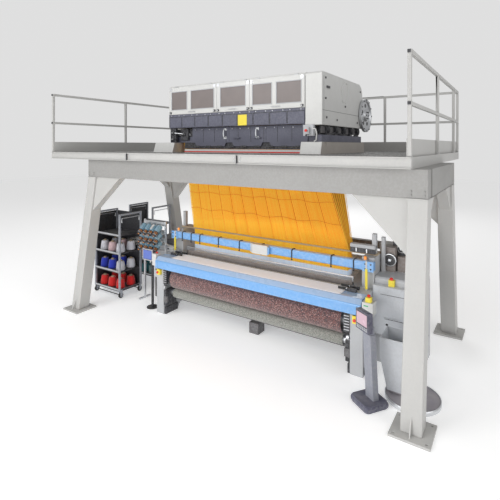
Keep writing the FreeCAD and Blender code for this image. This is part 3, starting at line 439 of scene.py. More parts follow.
# Orange cord; its glow is painted light that lifts the cords out of the shade under the deck.
CORDS_PAINTED_GLOW = Finish("harness_cord", (1.0, 0.66, 0.07), (0.97, 0.44, 0.018), Pattern.THREADS, rough=0.75,
    wear=(1.0, 0.74, 0.16), mottle=0.5, worn=0.1, scale=4.0, grain=900.0, bump=0.0002, glow=0.16)
TIES = Finish("tie_cord", (0.78, 0.27, 0.012), (0.6, 0.18, 0.008), Pattern.THREADS, rough=0.75,
    wear=(0.8, 0.3, 0.05), worn=0.1)
# Heald wire; its brightened tone and glow are painted light on wires that stand in shade inside the
# loom.
HEALDS_PAINTED_LIGHT = Finish("heald_wire", (0.66, 0.74, 0.84), (0.5, 0.58, 0.7), Pattern.THREADS, rough=0.45,
    wear=(0.8, 0.86, 0.92), mottle=0.5, worn=0.1, scale=12.0, glow=0.32)
WARP = Finish("warp_yarn", (0.82, 0.8, 0.76), (0.6, 0.57, 0.54), Pattern.THREADS, rough=0.75, mottle=0.6,
    worn=0.1, scale=14.0, sheen=0.3)
DENTS = Finish("reed_wire", (0.52, 0.5, 0.5), (0.36, 0.33, 0.32), Pattern.THREADS, rough=0.35,
    mottle=0.4, worn=0.2, scale=20.0, metal=0.6)
# Pale figured cloth; its glow is painted light that brightens the cloth where it lies in shade.
PALE_CLOTH_PAINTED_LIGHT = Finish("pale_figured_cloth_painted_light", (0.97, 0.96, 0.97), (0.94, 0.9, 0.91), Pattern.CLOTH,
    wear=(0.8, 0.62, 0.62), glow=0.1, scale=46.0, mottle=0.25, rough=0.82, grain=420.0, worn=0.22,
    bump=0.0008, sheen=0.3)
DARK_CLOTH = Finish("russet_figured_cloth", (0.24, 0.095, 0.085), (0.055, 0.048, 0.055), Pattern.CLOTH,
    wear=(0.5, 0.3, 0.27), scale=52.0, mottle=0.35, rough=0.85, grain=360.0, worn=0.75, bump=0.0015,
    sheen=0.4)
SAGE_CLOTH = Finish("sage_plain_cloth", (0.33, 0.33, 0.3), (0.2, 0.205, 0.185), Pattern.CLOTH,
    wear=(0.46, 0.44, 0.4), scale=44.0, mottle=0.35, rough=0.8, grain=420.0, worn=0.3, bump=0.001,
    sheen=0.3)
BEAM_YARN = Finish("beam_yarn", (0.74, 0.71, 0.66), (0.52, 0.49, 0.45), Pattern.WOUND, rough=0.8,
    grain=500.0, mottle=0.6, worn=0.25, bump=0.0008, sheen=0.3)

GREY_COVER = Finish("cover_enamel", (0.58, 0.6, 0.63), (0.52, 0.54, 0.57), rough=0.36, coat=0.2,
    mottle=0.2, bump=0.0001)
RACK = Finish("rack_enamel", (0.3, 0.32, 0.36), (0.22, 0.235, 0.27), rough=0.36, wear=(0.5, 0.5, 0.52),
    worn=0.5)
ARM = Finish("arm_enamel", (0.27, 0.28, 0.325), (0.21, 0.22, 0.26), rough=0.4, mottle=0.25, bump=0.0002)


def yarn(name: str, tone: Colour) -> Finish:
    """Finish of one colour of wound yarn."""
    return Finish(name, tone, tuple(0.55 * part for part in tone), Pattern.WOUND, rough=0.82,
        grain=420.0, mottle=0.7, worn=0.2, scale=12.0, bump=0.001, sheen=0.35)


YARNS = {"white": yarn("yarn_white", (0.72, 0.72, 0.78)), "blue": yarn("yarn_blue", (0.02, 0.045, 0.5)),
    "red": yarn("yarn_red", (0.74, 0.015, 0.014)), "green": yarn("yarn_green", (0.36, 0.55, 0.54)),
    "gold": yarn("yarn_gold", (0.72, 0.42, 0.13)), "petrol": yarn("yarn_petrol", (0.01, 0.22, 0.26)),
    "rose": yarn("yarn_rose", (0.7, 0.5, 0.52))}


# ---- geometry nodes

class RepeatTree:
    """A Geometry Nodes tree with named inputs that makes a repeated feature."""

    def __init__(self, name: str, inputs: dict[str, tuple[str, object]]) -> None:
        """Make the tree with a geometry in and out.

        Args:
            name: Name of the tree.
            inputs: Socket type word and default of each named input.
        """
        self.tree = bpy.data.node_groups.new(name, "GeometryNodeTree")
        face = self.tree.interface
        face.new_socket(name="Geometry", in_out="INPUT", socket_type="NodeSocketGeometry")
        for label, (kind, start) in inputs.items():
            socket = face.new_socket(name=label, in_out="INPUT", socket_type=f"NodeSocket{kind}")
            if start is not None:
                socket.default_value = start
        face.new_socket(name="Geometry", in_out="OUTPUT", socket_type="NodeSocketGeometry")
        self.given = self.tree.nodes.new("NodeGroupInput").outputs
        self.result = self.tree.nodes.new("NodeGroupOutput").inputs

    def add(self, kind: str, sources: dict[str, object] | None = None,
            **settings: object) -> bpy.types.Node:
        """Add a node, set its properties and feed its inputs.

        Args:
            kind: Class name of the node.
            sources: Number, vector or socket for each named input.
            **settings: Properties of the node.

        Returns:
            The node.
        """
        made = self.tree.nodes.new(kind)
        for label, setting in settings.items():
            setattr(made, label, setting)
        for label, source in (sources or {}).items():
            if isinstance(source, Socket):
                self.tree.links.new(source, made.inputs[label])
            else:
                made.inputs[label].default_value = source
        return made

    def close(self, geometry: Socket) -> Tree:
        """End the tree in Realize Instances and Set Material."""
        real = self.add("GeometryNodeRealizeInstances", {"Geometry": geometry})
        painted = self.add("GeometryNodeSetMaterial",
            {"Geometry": real.outputs[0], "Material": self.given["Material"]})
        self.tree.links.new(painted.outputs[0], self.result["Geometry"])
        return self.tree


def stud_tree() -> Tree:
    """Put a small tapered stud on every point, standing along the point's facing vector."""
    tree = RepeatTree("studs_on_points", {"Sides": ("Int", 6), "Radius": ("Float", 0.01),
        "Crown": ("Float", 0.008), "Height": ("Float", 0.008), "Stretch": ("Float", 1.0),
        "Material": ("Material", None)})
    stud = tree.add("GeometryNodeMeshCone",
        {"Vertices": tree.given["Sides"], "Radius Bottom": tree.given["Radius"],
        "Radius Top": tree.given["Crown"], "Depth": tree.given["Height"]})
    long = tree.add("ShaderNodeCombineXYZ", {"X": tree.given["Stretch"], "Y": 1.0, "Z": 1.0})
    shaped = tree.add("GeometryNodeTransform",
        {"Geometry": stud.outputs["Mesh"], "Scale": long.outputs[0]})
    spin = tree.add("GeometryNodeInputNamedAttribute", {"Name": "spin"}, data_type="FLOAT")
    turned = tree.add("ShaderNodeCombineXYZ", {"Z": spin.outputs[0]})
    facing = tree.add("GeometryNodeInputNamedAttribute", {"Name": "facing"}, data_type="FLOAT_VECTOR")
    aligned = tree.add("FunctionNodeAlignEulerToVector",
        {"Rotation": turned.outputs[0], "Vector": facing.outputs[0]}, axis="Z")
    placed = tree.add("GeometryNodeInstanceOnPoints",
        {"Points": tree.given["Geometry"], "Instance": shaped.outputs[0],
        "Rotation": aligned.outputs[0]})
    return tree.close(placed.outputs[0])


def strand_tree() -> Tree:
    """Turn every loose line of the input into a thin strand with a tone of its own."""
    tree = RepeatTree("strands_on_lines", {"Radius": ("Float", 0.002), "Sides": ("Int", 3),
        "Seed": ("Int", 7), "Material": ("Material", None)})
    lines = tree.add("GeometryNodeMeshToCurve", {"Mesh": tree.given["Geometry"]})
    tone = tree.add("FunctionNodeRandomValue", {"Seed": tree.given["Seed"]}, data_type="FLOAT")
    stored = tree.add("GeometryNodeStoreNamedAttribute", {"Geometry": lines.outputs[0], "Name": "tone",
        "Value": tone.outputs[1]}, data_type="FLOAT", domain="CURVE")
    ring = tree.add("GeometryNodeCurvePrimitiveCircle",
        {"Resolution": tree.given["Sides"], "Radius": tree.given["Radius"]})
    swept = tree.add("GeometryNodeCurveToMesh",
        {"Curve": stored.outputs[0], "Profile Curve": ring.outputs[0], "Fill Caps": True})
    return tree.close(swept.outputs[0])


def ring_tree() -> Tree:
    """Set blocks round a circle about the local X axis, such as teeth, slots or bolts."""
    tree = RepeatTree("blocks_round_ring", {"Count": ("Int", 24), "Radius": ("Float", 0.1),
        "Long": ("Float", 0.02), "Wide": ("Float", 0.01), "Tall": ("Float", 0.01),
        "Material": ("Material", None)})
    circle = tree.add("GeometryNodeMeshCircle",
        {"Vertices": tree.given["Count"], "Radius": tree.given["Radius"]})
    size = tree.add("ShaderNodeCombineXYZ", {"X": tree.given["Tall"], "Y": tree.given["Wide"],
        "Z": tree.given["Long"]})
    tooth = tree.add("GeometryNodeMeshCube", {"Size": size.outputs[0]})
    outward = tree.add("FunctionNodeAlignEulerToVector",
        {"Vector": tree.add("GeometryNodeInputPosition").outputs[0]}, axis="X")
    ring = tree.add("GeometryNodeInstanceOnPoints",
        {"Points": circle.outputs[0], "Instance": tooth.outputs[0], "Rotation": outward.outputs[0]})
    upright = tree.add("GeometryNodeTransform",
        {"Geometry": ring.outputs[0], "Rotation": (0.0, pi / 2, 0.0)})
    set_out = tree.add("GeometryNodeInstanceOnPoints",
        {"Points": tree.given["Geometry"], "Instance": upright.outputs[0]})
    return tree.close(set_out.outputs[0])


def linked(name: str, data: bpy.types.ID) -> Item:
    """Make an object of this data and put it in the scene."""
    made = bpy.data.objects.new(name, data)
    bpy.context.scene.collection.objects.link(made)
    return made


TREE_MAKERS = {"studs_on_points": stud_tree, "strands_on_lines": strand_tree,
    "blocks_round_ring": ring_tree}


def evaluated_copy(item: Item, name: str) -> Item:
    """Turn an object with live modifiers into a plain one at the origin.

    Args:
        item: The object; it is removed.
        name: Name of the new object.

    Returns:
        The plain object.
    """
    bpy.context.view_layer.update()
    graph = bpy.context.evaluated_depsgraph_get()
    mesh = bpy.data.meshes.new_from_object(item.evaluated_get(graph), depsgraph=graph)
    bpy.data.objects.remove(item)
    mesh.name = name
    return linked(name, mesh)


def repeated(name: str, tree_name: str, source: bpy.types.Mesh, finish: Finish, body: str, slot: str,
        **inputs: object) -> Item:
    """Run one of the repeat trees on a mesh and keep the result as a piece.

    Args:
        name: Name of the piece.
        tree_name: Which tree.
        source: Points or lines to work on.
        finish: Finish of the result.
        body: Body that the piece rides on.
        slot: Material slot; not used.
        **inputs: Values of the tree's named inputs.

    Returns:
        The piece.
    """
    tree = bpy.data.node_groups.get(tree_name) or TREE_MAKERS[tree_name]()
    base = linked(name + "_base", source)
    modifier = base.modifiers.new("repeat", "NODES")
    modifier.node_group = tree
    for item in tree.interface.items_tree:
        if item.in_out == "INPUT" and item.name == "Material":
            modifier[item.identifier] = finish.material()
        elif item.in_out == "INPUT" and item.name in inputs:
            modifier[item.identifier] = inputs[item.name]
    return enlist(evaluated_copy(base, name), body)


def enlist(piece: Item, body: str, replaces: Iterable[str] = ()) -> Item:
    """Put a finished piece on its body and report it."""
    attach(piece, body)
    replaced = list(replaces)
    if replaced:
        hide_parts(*replaced)
    LOG.info("%s: %d faces on %s%s", piece.name, len(piece.data.polygons), body,
        f", for {', '.join(replaced)}" if replaced else "")
    return piece


def studs(name: str, places: Iterable[tuple[Point, Point]], finish: Finish, slot: str,
        body: str = MACHINE, sides: int = 6, radius: float = 0.01, crown: float = 0.009,
        height: float = 0.008, stretch: float = 1.0, spins: Sequence[float] | None = None) -> Item:
    """Fasteners or raised lozenges at given points.

    Args:
        name: Name of the piece.
        places: Point and outward direction of each.
        finish: Finish of the studs.
        slot: Material slot.
        body: Body that they ride on.
        sides: Sides of the head.
        radius: Radius at the foot.
        crown: Radius at the top.
        height: How far they stand out.
        stretch: Length over width.
        spins: Turn of each about its own direction.

    Returns:
        The piece.
    """
    points, ways = zip(*places)
    mesh = bpy.data.meshes.new(name)
    mesh.from_pydata([tuple(p) for p in points], [], [])
    facing = mesh.attributes.new("facing", "FLOAT_VECTOR", "POINT")
    facing.data.foreach_set("vector", [part for way in ways for part in way])
    spin = mesh.attributes.new("spin", "FLOAT", "POINT")
    spin.data.foreach_set("value", list(spins or [0.0] * len(points)))
    return repeated(name, "studs_on_points", mesh, finish, body, slot, Sides=sides, Radius=radius,
        Crown=crown, Height=height, Stretch=stretch)


def toothed(name: str, centres: Iterable[Point], finish: Finish, body: str, slot: str,
        **inputs: object) -> Item:
    """Blocks round circles at these centres, such as gear teeth; see ring_tree for the inputs."""
    mesh = bpy.data.meshes.new(name)
    mesh.from_pydata(list(centres), [], [])
    return repeated(name, "blocks_round_ring", mesh, finish, body, slot, **inputs)


def strands(name: str, lines: Iterable[Sequence[Point]], finish: Finish, slot: str, radius: float,
        body: str = MACHINE, sides: int = 3, replaces: Iterable[str] = ()) -> Item:
    """Thin strands along given lines.

    Args:
        name: Name of the piece.
        lines: Points along each strand.
        finish: Finish of the strands.
        slot: Material slot.
        radius: Radius of one strand.
        body: Body that they ride on.
        sides: Sides of a strand.
        replaces: CAD nodes that they stand for.

    Returns:
        The piece.
    """
    points: list[Point] = []
    edges: list[tuple[int, int]] = []
    for line in lines:
        start = len(points)
        points.extend(tuple(p) for p in line)
        edges.extend((start + i, start + i + 1) for i in range(len(line) - 1))
    mesh = bpy.data.meshes.new(name)
    mesh.from_pydata(points, edges, [])
    piece = repeated(name, "strands_on_lines", mesh, finish, body, slot, Radius=radius, Sides=sides)
    if replaces:
        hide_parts(*replaces)
    return piece


# ---- mesh work

SHARP = radians(38)


def finished(item: Item, bevel: float) -> Item:
    """Round the sharp edges a little and give the mesh clean normals.

    Args:
        item: Object with a raw mesh; it is removed.
        bevel: Width of the rounding, or 0 for none.

    Returns:
        The plain object.
    """
    name = item.name
    item.name = name + "_raw"
    item.data.shade_smooth()
    item.data.set_sharp_from_angle(angle=SHARP)
    if bevel:
        rounding = item.modifiers.new("rounding", "BEVEL")
        rounding.width = bevel
        rounding.segments = 2
        rounding.limit_method = "ANGLE"
        rounding.angle_limit = SHARP
        rounding.harden_normals = True
    weighted = item.modifiers.new("normals", "WEIGHTED_NORMAL")
    weighted.keep_sharp = True
    return evaluated_copy(item, name)


class Shape:
    """Collects the solids of one piece, each with its own finish."""

    def __init__(self, *finishes: Finish) -> None:
        """Start an empty piece with these finishes, numbered from 0."""
        self.mesh = bmesh.new()
        self.finishes = finishes
        self.origin = Vector()

    def at(self, *origin: float) -> "Shape":
        """Measure what is added next from this point."""
        self.origin = Vector(origin)
        return self

    def _keep(self, verts: Sequence[bmesh.types.BMVert], finish: int) -> None:
        """Give the faces of new vertices a finish and turn them outwards."""
        faces = {face for vert in verts for face in vert.link_faces}
        for face in faces:
            face.material_index = finish
        bmesh.ops.recalc_face_normals(self.mesh, faces=list(faces))

    def box(self, low: Point, high: Point, finish: int = 0, place: Matrix | None = None) -> "Shape":
        """Add a block between two opposite corners, optionally placed by a matrix instead."""
        size = [abs(b - a) for a, b in zip(low, high)]
        middle = [(a + b) / 2 for a, b in zip(low, high)]
        made = bmesh.ops.create_cube(self.mesh, size=1.0)["verts"]
        matrix = (place or Matrix.Translation(self.origin)) @ Matrix.Translation(middle)
        bmesh.ops.transform(self.mesh, matrix=matrix @ Matrix.Diagonal((*size, 1.0)), verts=made)
        self._keep(made, finish)
        return self

    def boxes(self, *rows: Sequence[object]) -> "Shape":
        """Add several blocks, each with its corners and the number of its finish."""
        for row in rows:
            self.box(*row)
        return self

    def border(self, span: Sequence[float], rim: float, depth: tuple[float, float], lap: float = 0.0,
            finish: int = 0) -> "Shape":
        """Add four bars inside the edge of an upright opening.

        Args:
            span: Left, right, bottom and top of the opening.
            rim: Width of a bar.
            depth: Front and back of the bars.
            lap: How far the level bars reach past the sides.
            finish: Number of their finish.

        Returns:
            This shape.
        """
        left, right, low, high = span
        for a, b, c, d in ((left - lap, right + lap, high - rim, high),
                (left - lap, right + lap, low, low + rim), (left, left + rim, low + rim, high - rim),
                (right - rim, right, low + rim, high - rim)):
            self.box((a, depth[0], c), (b, depth[1], d), finish)
        return self

    def skin(self, rings: Sequence[Sequence[Point]], finish: int = 0) -> "Shape":
        """Add a solid through rings of as many points each, closed at both ends."""
        made = [[self.mesh.verts.new(self.origin + Vector(point)) for point in ring] for ring in rings]
        for lower, upper in zip(made, made[1:]):
            for i, vert in enumerate(lower):
                j = (i + 1) % len(lower)
                self.mesh.faces.new((vert, lower[j], upper[j], upper[i]))
        self.mesh.faces.new(made[0])
        self.mesh.faces.new(made[-1])
        self._keep([vert for ring in made for vert in ring], finish)
        return self

    def prism(self, outline: Sequence[tuple[float, float]], axis: int, low: float, high: float,
            finish: int = 0) -> "Shape":
        """Add a solid with a flat outline.

        Args:
            outline: Corners in the other two axes, in their order.
            axis: Axis that it runs along.
            low: Start on that axis.
            high: End on that axis.
            finish: Number of its finish.

        Returns:
            This shape.
        """
        rings = []
        for along in (low, high):
            corners = [list(pair) for pair in outline]
            for corner in corners:
                corner.insert(axis, along)
            rings.append(corners)
        return self.skin(rings, finish)

    def lathe(self, profile: Sequence[tuple[float, float]], origin: Point, way: Point,
            segments: int = 32, finish: int | Sequence[int] = 0) -> "Shape":
        """Add a turned solid.

        Args:
            profile: Distance along the axis and radius, from end to end.
            origin: Start of the axis.
            way: Direction of the axis.
            segments: Sides of the turning.
            finish: Number of its finish, or one for each stretch of the profile.

        Returns:
            This shape.
        """
        turn = Z_DIR.rotation_difference(Vector(way)).to_matrix().to_4x4()
        frame = Matrix.Translation(self.origin + Vector(origin)) @ turn
        circle = [(cos(a), sin(a)) for a in turns(segments)]
        rings = []
        for along, radius in profile:
            if radius < 1e-6:
                rings.append([self.mesh.verts.new(frame @ Vector((0, 0, along)))])
                continue
            rings.append([self.mesh.verts.new(frame @ Vector((radius * a, radius * b, along))) for a,
                b in circle])
        faces = []
        for stretch, (lower, upper) in enumerate(zip(rings, rings[1:])):
            number = finish if isinstance(finish, int) else finish[stretch]
            for i in range(segments):
                j = (i + 1) % segments
                corners = ([lower[0]] if len(lower) == 1 else [lower[i], lower[j]]) + ([upper[0]] if
                    len(upper) == 1 else [upper[j], upper[i]])
                if len(corners) > 2:
                    face = self.mesh.faces.new(corners)
                    face.material_index = number
                    faces.append(face)
        for ring, number in ((rings[0], 0), (rings[-1], -1)):
            if len(ring) > 1:
                face = self.mesh.faces.new(ring)
                face.material_index = finish if isinstance(finish, int) else finish[number]
                faces.append(face)
        bmesh.ops.recalc_face_normals(self.mesh, faces=faces)
        return self

    def tube(self, path: Sequence[Point], radius: float, sides: int = 8, finish: int = 0) -> "Shape":
        """Add a bent bar along a path.

        Args:
            path: Points of its middle line.
            radius: Radius of the bar.
            sides: Sides of the bar.
            finish: Number of its finish.

        Returns:
            This shape.
        """
        points = [Vector(p) for p in path]
        rings = []
        side = None
        for i, point in enumerate(points):
            way = (points[min(i + 1, len(points) - 1)] - points[max(i - 1, 0)]).normalized()
            if side is None:
                side = way.orthogonal().normalized()
            side = (side - way * side.dot(way)).normalized()
            other = way.cross(side)
            rings.append([point + radius * (cos(a) * side + sin(a) * other) for a in turns(sides)])
        return self.skin(rings, finish)

    def piece(self, name: str, slot: str, body: str = MACHINE, bevel: float = 0.002,
            replaces: Iterable[str] = ()) -> Item:
        """Turn the collected solids into a finished piece.

        Args:
            name: Name of the piece.
            slot: Material slot; not used.
            body: Body that it rides on.
            bevel: Width of the edge rounding.
            replaces: CAD nodes that it stands for.

        Returns:
            The piece.
        """
        mesh = bpy.data.meshes.new(name)
        self.mesh.to_mesh(mesh)
        self.mesh.free()
        for finish in self.finishes:
            mesh.materials.append(finish.material())
        return enlist(finished(linked(name, mesh), bevel), body, replaces)


def dressed(frame: dict, node: str, finish: Finish | Sequence[Finish], bevel: float = 0.003,
        pick: Callable[[Vector], int] | None = None) -> Item:
    """Copy a CAD node, round its edges and give it its finish.

    Args:
        node: Name of the CAD node.
        finish: One finish, or several to choose from.
        bevel: Width of the edge rounding.
        pick: Gives the number of the finish for the middle of a face.

    Returns:
        The piece, which stands for the node.
    """
    source = frame["nodes"][node]
    mesh = source.data.copy()
    mesh.materials.clear()
    for one in ([finish] if isinstance(finish, Finish) else finish):
        mesh.materials.append(one.material())
    work = bmesh.new()
    work.from_mesh(mesh)
    bmesh.ops.remove_doubles(work, verts=work.verts, dist=1e-5)
    bmesh.ops.dissolve_limit(work, angle_limit=radians(1.0), verts=work.verts, edges=work.edges)
    for face in work.faces:
        face.material_index = pick(face.calc_center_median()) if pick else 0
    work.to_mesh(mesh)
    work.free()
    for name in [layer.name for layer in mesh.uv_layers]:
        mesh.uv_layers.remove(mesh.uv_layers[name])
    item = linked(node + "_finished", mesh)
    return enlist(finished(item, bevel), source["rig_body"], [node])


@dataclass(frozen=True)
class Room:
    """The box that a CAD node fills at rest."""

    low: Vector
    high: Vector

    @classmethod
    def of(cls, node: str) -> "Room":
        """Measure a node."""
        return cls(*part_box(node))

    @property
    def size(self) -> Vector:
        """Lengths of its three sides."""
        return self.high - self.low

    @property
    def middle(self) -> Vector:
        """Its middle point."""
        return (self.low + self.high) / 2

    def at(self, a: float, b: float, c: float) -> Vector:
        """The point at these shares of its three sides."""
        return self.low + Vector((a * self.size.x, b * self.size.y, c * self.size.z))


def spread(low: float, high: float, count: int) -> list[float]:
    """Evenly spaced numbers from low to high, both included."""
    return [low + (high - low) * i / (count - 1) for i in range(count)]


def turns(count: int, start: float = 0.0) -> list[float]:
    """Angles of that many even steps round a circle."""
    return [start + tau * i / count for i in range(count)]


def bow(x: float, half: float, reach: float, z: float) -> list[Point]:
    """Path of a straight bow handle that stands out along Y."""
    return [(x - half, 0, z), (x - half, reach, z), (x + half, reach, z), (x + half, 0, z)]


def mushroom(stem: float, cap: float, thick: float, crown: float) -> list[tuple[float, float]]:
    """Profile of a mushroom button: stem length, cap radius, cap thickness and crown radius."""
    top = stem + thick
    return [(0, 0.012), (stem, 0.012), (stem, cap), (top, cap), (top + 0.006, crown), (top + 0.007, 0)]


# ---- portal and deck

COLUMN = 0.2
THIRDS = (1 / 3, 2 / 3)
KNOB = [(0, 0.014), (0.006, 0.014), (0.008, 0.009)]
HERE = (0.0, 0.0, 0.0)


@dataclass
class SubAssembly:
    """Part of the machine with the frame that it is built round."""

    frame: dict

    def dress(self, node: str, finish: Finish | Sequence[Finish], slot: str, bevel: float = 0.003,
            pick: Callable[[Vector], int] | None = None) -> Item:
        """Copy a CAD node with rounded edges and a finish."""
        return dressed(self.frame, node, finish, bevel, pick=pick)

    def build(self) -> None:
        """Make every piece of this part of the machine."""
        raise NotImplementedError


@dataclass
class Portal(SubAssembly):
    """Steel portal: columns, beams, gussets and feet."""

    cap_lap: float = 0.014
    cap_thick: float = 0.012

    def build(self) -> None:
        """Make every piece of the portal."""
        self.dress("portal_columns", DECK_WHITE, "white_paint", 0.008)
        self.dress("portal_beams", FASCIA, "white_paint", 0.006)
        self.dress("column_gussets", DECK_WHITE, "white_paint", 0.005)
        self.dress("base_plates", DECK_WHITE, "grey_paint", 0.002)
        self.column_caps()
        self.foot_welds()

    def column_caps(self) -> None:
        """Bolted flange plates between the columns and the beams."""
        beams, lap = Room.of("portal_beams"), self.cap_lap
        shape, bolts, z = Shape(DECK_WHITE), [], beams.low.z
        for x, inner in ((beams.low.x, 0), (beams.high.x - COLUMN, lap)):
            for y in (beams.low.y, beams.high.y - COLUMN):
                shape.at(x, y, z).box((-inner, -lap, -self.cap_thick),
                    (COLUMN + lap - inner, COLUMN + lap, 0))
                bolts += [((x + along, y - 0.004, z + up), -Y_DIR) for along in (0.035, 0.165) for up in
                    (0.035, 0.075)]
        shape.piece("column_flanges", "white_paint", bevel=0.002)
        studs("column_bolts", bolts, FASCIA, "bright_steel", radius=0.01, crown=0.009, height=0.01)

    def foot_welds(self) -> None:
        """Stiffening fins at the column feet."""
        shape, columns = Shape(DECK_WHITE), Room.of("portal_columns")
        for x in (columns.low.x + 0.1, columns.high.x - 0.1):
            for y, way in ((columns.low.y, -1), (columns.high.y, 1)):
                shape.at(x, y - way * 0.012, 0).prism([(0, 0.025), (way * 0.075, 0.025),
                    (-way * 0.02, 0.2)], 0, -0.006, 0.006)
        shape.piece("foot_fins", "white_paint", bevel=0.001)


@dataclass
class Deck(SubAssembly):
    """Walk-on deck, its edge channels and the railings."""

    lip: float = 0.01
    lozenge_pitch: float = 0.085
    post: float = 0.04

    def build(self) -> None:
        """Make every piece of the deck."""
        self.dress("deck_plates", TREAD, "tread", 0.002)
        self.dress("deck_frame", DECK_WHITE, "white_paint", 0.0)
        self.dress("railings", DECK_WHITE, "white_paint", 0.004)
        self.dress("toe_boards", DECK_WHITE, "white_paint", 0.0015)
        self.channel_lips()
        self.lozenges()
        self.rail_details()
        self.opening_trim()

    def channel_lips(self) -> None:
        """Flanges that make the front fascia a channel, with joint plates."""
        deck = Room.of("deck_frame")
        long, _, tall = deck.size
        shape = Shape(DECK_WHITE, BLACK).at(*deck.low)
        for z in (0, tall - self.lip):
            shape.box((0, -0.024, z), (long, 0, z + self.lip))
        for x in (share * long for share in THIRDS):
            shape.box((x - 0.005, -0.026, 0), (x + 0.005, -0.001, tall), 1)
        shape.piece("fascia_lips", "white_paint", bevel=0.002)
        bolts = [((deck.low.x + share * long + side, deck.low.y, z), -Y_DIR) for share in THIRDS for side
            in (-0.05, 0.05) for z in (deck.low.z + 0.04, deck.high.z - 0.04)]
        studs("fascia_bolts", bolts, STEEL, "bright_steel", radius=0.009, crown=0.008, height=0.01)

    def lozenges(self) -> None:
        """Raised lozenges of the tread plate, in alternate directions, round the opening."""
        deck, pitch = Room.of("deck_plates"), self.lozenge_pitch
        places, spins = [], []
        for i in range(int(deck.size.x / pitch)):
            for j in range(int(deck.size.y / pitch)):
                x, y = deck.low.x + (i + 0.5) * pitch, deck.low.y + (j + 0.5) * pitch
                if not (-0.88 < x < 1.795 and -0.95 < y < 0.1):
                    places.append(((x, y, deck.high.z + 0.0008), Z_DIR))
                    spins.append(radians(45 if (i + j) % 2 else -45))
        studs("tread_lozenges", places, TREAD, "tread", sides=4, radius=0.007, crown=0.003, height=0.003,
            stretch=3.4, spins=spins)

    def rail_details(self) -> None:
        """Black end caps, foot flanges and their bolts."""
        rails, deck, post = Room.of("railings"), Room.of("deck_frame"), self.post
        shape, feet, bolts = Shape(BLACK, DECK_WHITE), Shape(DECK_WHITE), []
        for x in (rails.low.x, rails.high.x - post):
            for z in (rails.high.z - post, rails.high.z - 0.53 - post):
                shape.at(x, rails.low.y, z).box((0.003, -0.012, 0.003),
                    (post - 0.003, 0.004, post - 0.003))
            for y in (rails.low.y, rails.low.y + 1.7, rails.low.y + 3.34, rails.high.y - post):
                low, high = max(y - 0.035, deck.low.y), min(y + post + 0.035, deck.high.y)
                feet.box((x, low, deck.high.z), (x + post, high, deck.high.z + 0.008))
                bolts += [((x + post / 2, end, deck.high.z + 0.012), Z_DIR) for end in (low + 0.015,
                    high - 0.015) if not y <= end <= y + post]
        shape.piece("rail_end_caps", "rubber", bevel=0.003)
        feet.piece("rail_feet", "white_paint", bevel=0.0015)
        studs("rail_bolts", bolts, STEEL, "bright_steel", radius=0.009, crown=0.008, height=0.008)

    def opening_trim(self) -> None:
        """Light and red edge strips in front of the opening."""
        panels, top = Room.of("head_panels"), Room.of("deck_frame").high.z
        low, high = panels.low.x + 0.3, panels.high.x - 0.02
        shape = Shape(WHITE, RED).boxes(((low, -0.965, top), (high, -0.945, top + 0.058)),
            ((low, -0.972, top + 0.01), (high, -0.9645, top + 0.026), 1))
        shape.piece("opening_edge_strip", "white_paint", bevel=0.002)


# ---- jacquard head

DOOR_WINDOWS = {"left": (0.05, 0.4, 0.47, 0.95), "middle": (0.1, 0.9), "right": (0.05, 0.43, 0.5, 0.95)}


